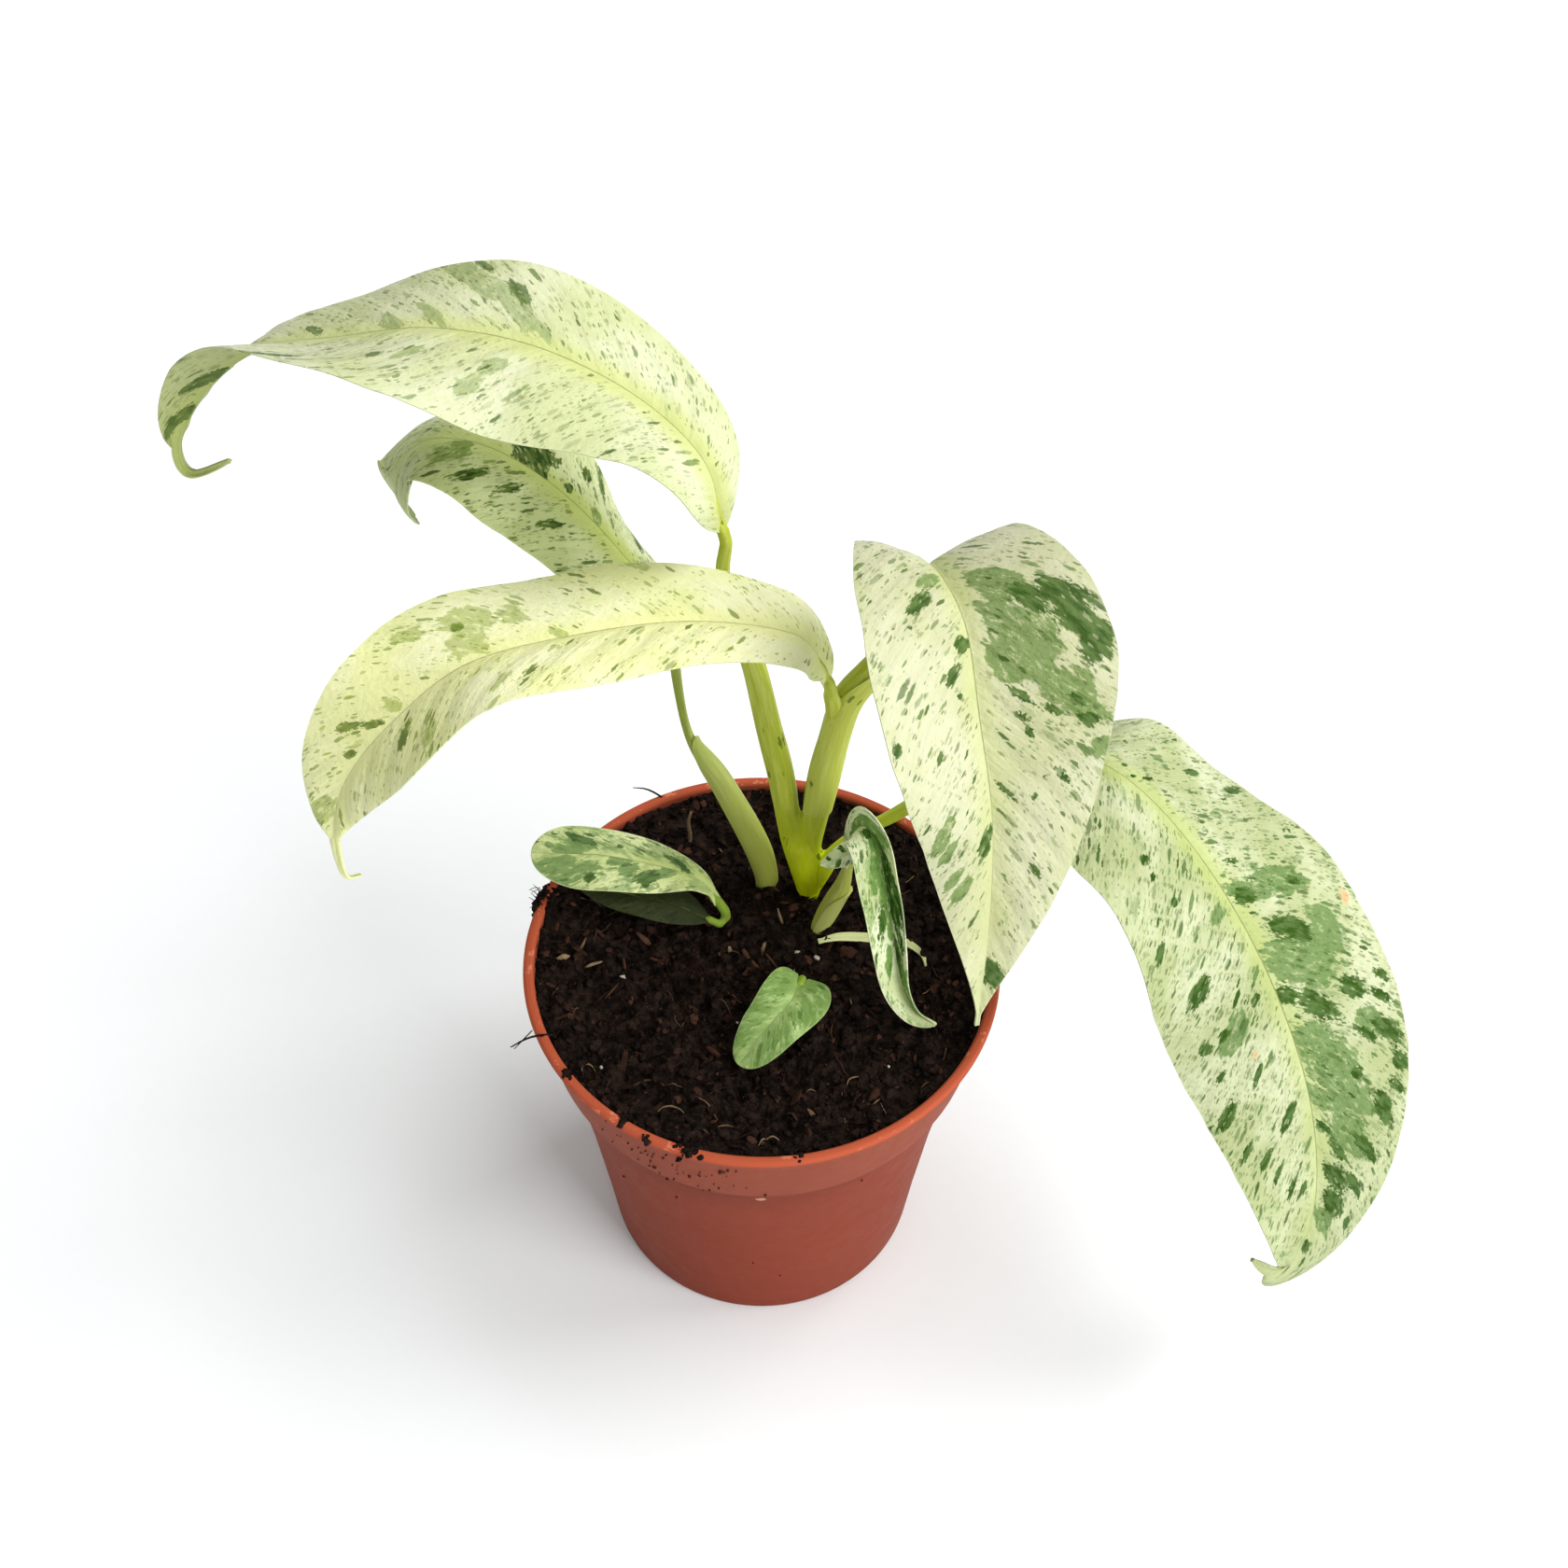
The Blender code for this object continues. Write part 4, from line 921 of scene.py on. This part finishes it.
def make_blade(name, look, slot):
    grid, up, facts, half, off, across_vein = blade_grid(name)
    share = facts["share"]
    left = BLADES[name]["half"][0]
    large = left > LARGE
    normal = unit(np.cross(np.gradient(grid, axis=1), np.gradient(grid, axis=0)))
    normal[0], normal[-1] = up[0], up[-1]
    # side veins: shallow grooves with the blade swelling between them
    phase = across_vein / (VEIN_GAP if large else SMALL_VEIN_GAP) * 2 * np.pi
    reach = np.clip(np.abs(off) / 2.5, 0, 1) * np.clip(facts["off_margin"] / (0.25 * half), 0, 1)
    quilt = (QUILT if large else SMALL_QUILT) * reach * (np.abs(np.sin(phase / 2)) ** 0.8 - 0.6)
    quilt += (0.07 if large else 0.03) * reach * np.abs(np.sin(phase * 1.5))
    # the midrib: a channel above and a keel below, both fading towards the tip
    sturdy = min(1, left / 15)
    channel = CHANNEL * np.exp(-(off / 0.9) ** 2) * (1 - share) * sturdy
    keel_wide = 0.35 + (1 - share) * sturdy
    keel = min(RIB, left * RIB_SHARE) * (1 - 0.75 * share) * np.exp(-(off / keel_wide) ** 2)
    thick = BLADE / 2 * (1 - 0.55 * (np.abs(off) / half) ** 6)
    upper = grid + normal * (thick + quilt - channel)[..., None]
    lower = grid - normal * (thick - quilt + keel)[..., None]
    facts = {key: np.tile(values.ravel(), 2) for key, values in facts.items()}
    add_piece("fine_" + name, *slab(upper, lower), look, slot,
              None if name == "young_flap" else name, 70, under=np.repeat([0.0, 1.0], off.size), **facts)


# Stalks
def branch_route(blade, points):
    """A branch's smooth route with radii, run on below the midrib of the blade it carries."""
    if not blade:
        return smooth_path(points, 40)[0]
    first, second = np.array(BLADES[blade]["midrib"][:2], dtype=float)
    radius = min(BASE_HALF, points[-1][3])
    bend = first - unit(second - first) * BEND
    path, _ = smooth_path([*points, (*bend, radius)], 90)
    rows = LARGE_GRID[0]
    mid, length, _, _, up = blade_frames(BLADES[blade], rows)
    run = along(rows, CROWD) * length
    reach = min(16, length * 0.25)
    rib = [(*first, radius)]
    for place in np.linspace(0, reach, 12)[1:]:
        k = np.abs(run - place).argmin()
        thin = radius * (1 - 0.75 * place / reach)
        rib.append((*(mid[k] - up[k] * (BLADE / 2 + thin * 0.55)), thin))
    return np.vstack([path, rib])


def sheath(route, start, stop, edges, wing):
    """A thin sheet wrapped round part of a stalk, narrowing to a point at its top. edges are
    the angles of its two margins, from the front towards the right."""
    _, _, front, right = tube(route, 8)
    steps, wide = 70, 21
    even = np.linspace(-1, 1, wide)
    share = np.linspace(0, 1, steps)
    rows = np.linspace(start, stop, steps) * (len(route) - 1)

    def at(values):
        return np.stack([np.interp(rows, np.arange(len(route)), c) for c in values.T], -1)

    middle, half = (edges[0] + edges[1]) / 2, (edges[1] - edges[0]) / 2
    closing = np.sqrt(np.maximum(0.0, 1 - share**5))[:, None]
    angle = np.radians(middle + half * closing * even)[..., None]
    normal = unit(at(front))[:, None] * np.cos(angle) + unit(at(right))[:, None] * np.sin(angle)
    lip = even**6
    flare = 0.22 * lip + wing * lip * np.exp(-(share[:, None] / 0.12) ** 2) + 0.5 * share[:, None] ** 8
    centre = at(route)
    grid = centre[:, None, :3] + normal * (centre[:, 3:] + SHEATH_GAP + flare)[..., None]
    thick = 0.24 * (1 - 0.6 * even**4)[:, None]
    return slab(grid + normal * thick, grid - normal * thick * 2.4)


def smoothed(mesh, points):
    """The crown's stalks grown into one body: evens out the skin, most of all low down."""
    edges = np.zeros(len(mesh.edges) * 2, dtype=int)
    mesh.edges.foreach_get("vertices", edges)
    one, two = edges.reshape(-1, 2).T
    number = np.bincount(edges, minlength=len(points))[:, None]
    share = 0.5 * np.clip((140 - points[:, 2:3]) / 14, 0, 1)
    for _ in range(60):
        near = np.stack([np.bincount(one, points[two, k], len(points))
                         + np.bincount(two, points[one, k], len(points)) for k in range(3)], -1)
        points = points + share * (near / number - points)
    return points


def melted(name, routes, look):
    """Points and faces of the branches' tubes melted into one skin."""
    points, faces = joined([tube(route, 24)[:2] for route in routes])
    made = add_piece("fine_" + name, points, faces, look, "stalk", name)
    melt = made.modifiers.new("melt", "REMESH")
    melt.mode = "VOXEL"
    melt.voxel_size = (CROWN_CELL if name == "central_shoot" else SKIN_CELL) * MM
    melt.adaptivity = 0.0
    even = made.modifiers.new("even", "SMOOTH")
    even.factor = 0.5
    even.iterations = 5
    apply_modifiers(made)
    skin = np.zeros(len(made.data.vertices) * 3)
    made.data.vertices.foreach_get("co", skin)
    skin = skin.reshape(-1, 3) / MM
    if name == "central_shoot":
        skin = smoothed(made.data, skin)
    faces = [list(face.vertices) for face in made.data.polygons]
    bpy.data.objects.remove(made, do_unlink=True)
    return skin, faces


def make_shoot(name, look):
    """Stalks grown together, with a sheath, and where each point lies along and round its
    nearest stalk."""
    routes = [branch_route(blade, points) for blade, points in SHOOTS[name]]
    for route in routes:
        route[:, 3] *= 1 - SLIMMER.get(name, 0) * np.clip((155 - route[:, 2]) / 20, 0, 1)
    parts = [melted(name, routes, look)]
    if name in SHEATHS:
        index, *rest = SHEATHS[name]
        parts.append(sheath(routes[index], *rest))
    points, faces = joined(parts)
    nearest = np.full(len(points), 1e9)
    place = np.zeros((len(points), 3))
    run_of, round_of = np.zeros((2, len(points)))
    for number, route in enumerate(routes):
        _, _, front, right = tube(route, 6)
        path, radius = route[:, :3], route[:, 3]
        run = np.concatenate([[0], np.cumsum(np.linalg.norm(np.diff(path, axis=0), axis=1))])
        for k in range(len(path)):
            away = points - path[k]
            far = np.linalg.norm(away, axis=1) - radius[k]
            near = far < nearest
            nearest[near] = far[near]
            a, b = away[near] @ front[k], away[near] @ right[k]
            place[near] = xyz(a, b, run[k] + 90.0 * number)
            run_of[near] = run[k] + 40 * number
            round_of[near] = np.arctan2(b, a) * radius[k]
    add_piece("fine_" + name, points, faces, look, "stalk", name, 75, stem_place=place, run=run_of,
              round=round_of, height=points[:, 2], sheath=np.arange(len(points)) >= len(parts[0][0]))


# Pot
def rounded(profile):
    """A profile with each corner turned into a short curve."""
    given = np.array(profile, dtype=float)
    made = [given[0]]
    for before, corner, after in zip(given, given[1:], given[2:]):
        to_before, to_after = before - corner, after - corner
        reach = min(CORNER, np.linalg.norm(to_before) / 2.2, np.linalg.norm(to_after) / 2.2)
        start, end = corner + unit(to_before) * reach, corner + unit(to_after) * reach
        for u in np.linspace(0, 1, 4):
            made.append(start * (1 - u) ** 2 + corner * 2 * u * (1 - u) + end * u**2)
    return np.array([*made, given[-1]])


def make_pot(look):
    """Thin moulded plastic, with a wall a touch out of round and a lip not quite level."""
    profile = rounded([(0, 0), *POT_UNDER, *POT_OUTSIDE, *POT_INSIDE, (0, FLOOR)])[1:-1]
    angle = FULL_TURN * np.arange(POT_SIDES) / POT_SIDES
    radius, height = profile.T[..., None]
    loose = LOOSE * np.clip(height / RIM_TOP, 0, 1) ** 2
    lift = loose * np.sin(3 * angle + 1.1) * (height > 60)
    points = xyz(*polar(radius + loose * np.cos(2 * angle + 0.7), angle), height + lift)
    pot = add_piece("fine_pot", points.reshape(-1, 3), ring_faces(len(profile), POT_SIDES), look,
                    "pot", "pot")
    drills = bmesh.new()
    for k in range(DRAIN_HOLES):
        x, y = polar(DRAIN_CIRCLE * MM, FULL_TURN * (k + 0.5) / DRAIN_HOLES)
        made = bmesh.ops.create_cone(
            drills, cap_ends=True, segments=32, radius1=DRAIN_RADIUS * MM,
            radius2=DRAIN_RADIUS * MM, depth=(FLOOR + 4) * MM)
        bmesh.ops.translate(drills, verts=made["verts"], vec=(x, y, FLOOR / 2 * MM))
    mesh = bpy.data.meshes.new("drills")
    drills.to_mesh(mesh)
    drills.free()
    cutter = add_object("drills", mesh)
    cut = pot.modifiers.new("drill", "BOOLEAN")
    cut.operation = "DIFFERENCE"
    cut.object = cutter
    apply_modifiers(pot)
    bpy.data.objects.remove(cutter, do_unlink=True)
    pot.data.set_sharp_from_angle(angle=math.radians(50))


# Soil
def clods(x, y, size, seed):
    """Rounded clods with creases between them: 1 on a clod's crown, 0 or less between."""
    cell = np.stack([np.floor(x / size), np.floor(y / size)], -1).astype(np.int64)
    nearest = 9.0
    for i, j in np.ndindex(3, 3):
        there = cell + (i - 1, j - 1)
        whole = np.concatenate([there, np.zeros_like(there[..., :1])], -1)
        px = (there[..., 0] + 0.5 + 0.45 * lattice(whole, seed)) * size
        py = (there[..., 1] + 0.5 + 0.45 * lattice(whole, seed + 1)) * size
        nearest = np.minimum(nearest, np.hypot(x - px, y - py) / size)
    return 1 - 1.6 * nearest**2


def bed_height(x, y):
    """Height of the soil's crumbly top, which is heaped against the wall in places."""
    waves = sum(height * np.sin(a * x + b * y + start) for height, a, b, start in SOIL_WAVES)
    rise = SOIL_RISE * (np.hypot(x, y) / SOIL_RADIUS) ** 6
    wander_x = x + 1.2 * noise(x, y, 3, 31)
    wander_y = y + 1.2 * noise(x, y, 3, 32)
    crumbs = (1.2 * clods(wander_x, wander_y, 5.2, 21) + 0.8 * clods(wander_x, wander_y, 2.3, 25)
              + 0.4 * noise(x, y, 1.4, 23) + 0.2 * noise(x, y, 0.7, 24) - 1.1)
    heaps = sum(height * np.exp(-((x - at_x) ** 2 + (y - at_y) ** 2) / spread)
                for at_x, at_y, height, spread in SOIL_HEAPS)
    return SOIL_TOP + waves + rise + crumbs + heaps


def make_bed(look):
    angle = FULL_TURN * np.arange(SOIL_SIDES) / SOIL_SIDES
    radius = (SOIL_RADIUS + 0.6) * (np.arange(SOIL_RINGS) + 1) / SOIL_RINGS
    x, y = polar(radius[:, None], angle)
    walls = [(r - 0.3, z) for r, z in POT_INSIDE if z < SOIL_TOP - 3] + [(20.0, FLOOR + 0.3)]
    rings = np.concatenate([xyz(x, y, bed_height(x, y)), [xyz(*polar(r, angle), z) for r, z in walls]])
    add_piece("soil_bed", rings.reshape(-1, 3), ring_faces(len(rings), SOIL_SIDES), look, "soil",
              "soil", tint=np.zeros(rings.size // 3))


def turn(angles):
    """Rotation matrices from three angles a row, about Z, Y and X."""
    made = np.eye(3)
    for angle, i, j in zip(angles.T, (0, 2, 1), (1, 0, 2)):
        step = np.tile(np.eye(3), (len(angle), 1, 1))
        step[:, i, i] = step[:, j, j] = np.cos(angle)
        step[:, i, j], step[:, j, i] = -np.sin(angle), np.sin(angle)
        made = made @ step
    return made


def lumps(places, sizes, draw, divisions=1, flat=0.7, tilt=0.25):
    """Many small uneven bits, each with its own three half sizes."""
    ball = bmesh.new()
    bmesh.ops.create_icosphere(ball, subdivisions=divisions, radius=1)
    points = np.array([v.co for v in ball.verts])
    faces = np.array([[v.index for v in f.verts] for f in ball.faces])
    ball.free()
    count, each = len(places), len(points)
    angles = draw.uniform(0, FULL_TURN, (count, 3)) * (1, tilt, tilt)
    uneven = 1 + 0.28 * draw.uniform(-1, 1, (count, each, 1))
    shaped = np.einsum("nij,npj->npi", turn(angles), points * uneven * sizes[:, None])
    shaped = shaped * (1, 1, flat) + places[:, None]
    index = faces + (np.arange(count) * each)[:, None, None]
    return shaped.reshape(-1, 3), index.reshape(-1, 3).tolist()


def add_bits(name, parts, tints, look, sharp=None):
    """A piece of loose bits from lists of lumps and of their tints, one tint for each lump."""
    tints = [np.repeat(tint, len(points) // len(tint)) for (points, _), tint in zip(parts, tints)]
    add_piece(name, *joined(parts), look, "soil", sharp=sharp, tint=np.concatenate(tints))


def scattered(draw, count, reach):
    """Places spread evenly over the soil."""
    spread = reach * np.sqrt(draw.uniform(0, 1, count))
    return polar(spread, draw.uniform(0, FULL_TURN, count))


def crumb_sizes(draw, count, least, most, longest=1.3):
    return draw.uniform(least, most, (count, 1)) * draw.uniform(0.6, longest, (count, 3))


def make_crumbs(look):
    draw = np.random.default_rng(41)
    parts = []
    for count, least, most, divisions in ((3600, 0.25, 0.7, 1), (420, 0.7, 1.7, 2)):
        x, y = scattered(draw, count, SOIL_RADIUS)
        size = crumb_sizes(draw, count, least, most)
        place = xyz(x, y, bed_height(x, y) + size[:, 2] * 0.35)
        parts.append((place, size, divisions, draw.uniform(0, 1, count)))
    # bits that lean on the wall
    count = 420
    angle = draw.uniform(0, FULL_TURN, count)
    x, y = polar(draw.uniform(55.2, 57.1, count), angle)
    size = crumb_sizes(draw, count, 0.3, 1.0, 1.4)
    place = xyz(x, y, draw.uniform(104.6, 106.6, count))
    parts.append((place, size, 1, draw.uniform(0, 0.9, count)))
    # specks stuck to the wall outside
    scatter = np.random.default_rng(47)
    fine = xyz(scatter.normal(-112, 10, FINE_SPECKS), scatter.normal(93, 6, FINE_SPECKS),
               scatter.uniform(0.3, 0.55, FINE_SPECKS))
    angle, z, size = np.concatenate([SPECKS, fine]).T
    outside = np.array(POT_OUTSIDE).T
    place = xyz(*polar(np.interp(z, outside[1], outside[0]) + 0.1, np.radians(angle)), z)
    parts.append((place, size[:, None] * (0.6, 0.5, 0.4), 2, np.ones(len(z))))
    # soil that fell on the lip and over it
    for *centre, reach, count in SPILLS:
        around = draw.normal(0, 0.45, (count, 3)) * (reach, reach, 0.9)
        around[:, 2] = np.abs(around[:, 2])
        place = centre + around
        near = np.hypot(place[:, 0], place[:, 1])
        place[:, :2] *= (np.minimum(near, 60.2) / near)[:, None]
        size = crumb_sizes(draw, count, 0.3, 1.1)
        parts.append((place, size, 1, draw.uniform(0, 0.8, count)))
    # a few large clods
    count = 80
    x, y = scattered(draw, count, SOIL_RADIUS - 2)
    size = crumb_sizes(draw, count, 1.3, 2.4, 1.2) * (1, 1, 0.7)
    place = xyz(x, y, bed_height(x, y) + size[:, 2] * 0.2)
    parts.append((place, size, 2, draw.uniform(0, 0.82, count)))
    made = [lumps(place, size, draw, divisions) for place, size, divisions, _ in parts]
    tints = [np.clip(tint - 0.8, 0, 1) * 1.6 for *_, tint in parts]
    add_bits("soil_crumbs", made, tints, look, 30)


def make_fibres(look):
    """Coir strands and roots on the soil. Those seen most clearly are listed one by one."""
    draw = np.random.default_rng(77)
    parts, tints = [], []

    def strand(route, tint, steps=None):
        if steps:
            route = smooth_path(route, steps)[0]
        parts.append(tube(np.array(route), 5)[:2])
        tints.append([tint])

    for _ in range(250):
        reach = SOIL_RADIUS * math.sqrt(draw.uniform(0, 0.97))
        place = np.array(polar(reach, draw.uniform(0, FULL_TURN)))
        heading = draw.uniform(0, FULL_TURN)
        bend, length = draw.normal(0, 0.12), draw.uniform(3, 12)
        rise, thick = draw.uniform(-0.2, 1.1), draw.uniform(0.08, 0.18)
        route = []
        steps = 8
        for u in np.linspace(0, 1, steps):
            z = bed_height(*place) + rise * math.sin(math.pi * u)
            route.append((*place, z, thick * (1.05 - 0.7 * abs(2 * u - 1) ** 3)))
            heading += bend + draw.normal(0, 0.13)
            place = place + np.array(polar(length / steps, heading))
            place *= min(1, SOIL_RADIUS / np.hypot(*place))
        strand(route, min(0.9, draw.exponential(0.2)))

    for steps, route in BLACK_STRANDS:
        strand(route, 0, steps)
    # short black hairs on the lip at the left
    for k in range(9):
        a = draw.uniform(0.6, 1.2) * (-1) ** k
        start = np.array((-57 + draw.uniform(-1, 1), 18.6 + draw.uniform(-3, 3), 108))
        end = start + np.array((-1.8 - draw.uniform(0, 1.2), 2.2 * a, draw.uniform(0.5, 2)))
        middle = (start + end) / 2 + (0, 0, 0.6)
        strand([(*start, 0.12), (*middle, 0.11), (*end, 0.06)], 0, 6)
    for steps, tint, route in PALE_STRANDS:
        strand(route, tint, steps)
    for x, y, size, start, sweep, tint in CURLS:
        share = np.linspace(0, 1, 14)
        px, py = polar(size, start + sweep * share)
        px, py = px + x, py + y
        z = bed_height(px, py) + 0.45 + 0.5 * np.sin(math.pi * share)
        strand(np.stack([px, py, z, 0.26 - 0.12 * np.abs(2 * share - 1)], -1), tint)
    add_bits("soil_fibres", parts, tints, look)


def flake_sizes(draw, count, long, broad, high):
    return xyz(draw.uniform(*long, count), draw.uniform(*broad, count), draw.uniform(*high, count))


def make_flakes(look):
    """Broad flakes of dark bark, which make the soil's coarse grain."""
    draw = np.random.default_rng(19)
    parts, tints = [], []
    for count, long, broad in ((520, (0.9, 2.0), (0.5, 1.1)), (230, (1.6, 3.6), (0.6, 1.6))):
        x, y = scattered(draw, count, SOIL_RADIUS - 1)
        size = flake_sizes(draw, count, long, broad, (0.16, 0.45))
        place = xyz(x, y, bed_height(x, y) + 0.2 + size[:, 2] * 0.4)
        parts.append(lumps(place, size, draw, 1, 1.0, 0.1))
        tints.append(np.clip(draw.exponential(0.1, count) - 0.03, 0, 0.4))
    add_bits("soil_flakes", parts, tints, look, 24)


def make_chips(look, white):
    """Bark chips and seed-like bits lying about, and a few specks of perlite."""
    draw = np.random.default_rng(5)
    count = 120
    x, y = scattered(draw, count, SOIL_RADIUS - 2)
    size = flake_sizes(draw, count, (0.9, 3.2), (0.3, 0.9), (0.2, 0.45))
    tint = np.clip(draw.exponential(0.15, count), 0, 0.8)
    x, y, *size, tint = np.concatenate([np.column_stack([x, y, size, tint]), CHIPS]).T
    size = np.stack(size, -1)
    place = xyz(x, y, bed_height(x, y) + size[:, 2] + 0.3)
    add_bits("soil_chips", [lumps(place, size, draw, 2, 1.0)], [tint], look)
    x, y, size = np.array(PERLITE).T
    place = xyz(x, y, bed_height(x, y) + 0.5)
    size = size[:, None] * (1.1, 0.85, 0.8)
    add_bits("perlite", [lumps(place, size, draw, 2, 0.9)], [np.ones(len(x))], white)


# Scene
def make_lamp(name, place, power):
    """A square lamp that shines on the middle of the plant."""
    lamp = bpy.data.lights.new(name, "AREA")
    lamp.shape = "SQUARE"
    lamp.size = LAMP_SIZE
    lamp.energy = power
    made = add_object(name, lamp)
    made.location = place
    x, y, z = np.array(place) - (0, 0, LAMP_AIM)
    made.rotation_euler = (math.atan2(math.hypot(x, y), z), 0, math.atan2(y, x) + math.pi / 2)


def make_stage():
    mesh = bpy.data.meshes.new("floor")
    corners = [(FLOOR_HALF * x, FLOOR_HALF * y, 0) for x, y in ((-1, -1), (1, -1), (1, 1), (-1, 1))]
    mesh.from_pydata(corners, [], [(0, 1, 2, 3)])
    floor = add_object("floor", mesh)
    paper = Look("paper", 0.9, 0.1)
    fine = paper.noise(paper.add("TexCoord", {}, "Object"), 300, 2)
    paper.put(paper.sockets["Base Color"],
              paper.mix(fine, (0.915, 0.94, 0.945, 1), (0.93, 0.955, 0.96, 1)))
    mesh.materials.append(paper.material)
    world = bpy.data.worlds.new("studio")
    world.use_nodes = True
    background = world.node_tree.nodes["Background"]
    background.inputs["Color"].default_value = (1, 1, 1, 1)
    background.inputs["Strength"].default_value = SKY
    bpy.context.scene.world = world
    for name, (place, power) in LAMPS.items():
        make_lamp(name, place, power)


def make_camera():
    camera = bpy.data.cameras.new("camera")
    camera.sensor_width = 36
    camera.lens = LENS
    camera.shift_x = LENS_SHIFT
    made = add_object("camera", camera)
    made.location = CAMERA
    made.rotation_euler = (math.radians(CAMERA_TILT), 0, 0)
    bpy.context.scene.camera = made


def main():
    make_camera()
    make_stage()
    bpy.context.scene.view_settings.view_transform = "Standard"

    make_pot(pot_look())
    peat = soil_look("peat", tone(120, 96, 74))
    strands = soil_look("fibre", tone(170, 146, 112))
    make_bed(peat)
    make_crumbs(peat)
    make_fibres(strands)
    make_flakes(peat)
    make_chips(strands, soil_look("perlite_white", tone(214, 208, 196)))

    for name, (shoots, spots, *tones) in STALK_LOOKS.items():
        look = stalk_look(name, spots, *(tone(*shown) for shown in tones))
        for shoot in shoots:
            make_shoot(shoot, look)
    looks = {}
    for name, (slot, *tones, pattern) in BLADE_LOOKS.items():
        tones = [tone(*shown) for shown in tones]
        looks[name] = blade_look(name.replace("leaf", "blade"), *tones, *pattern)
        make_blade(name, looks[name], slot)
    make_blade("young_flap", looks["young_leaf"], "green_blade")


main()
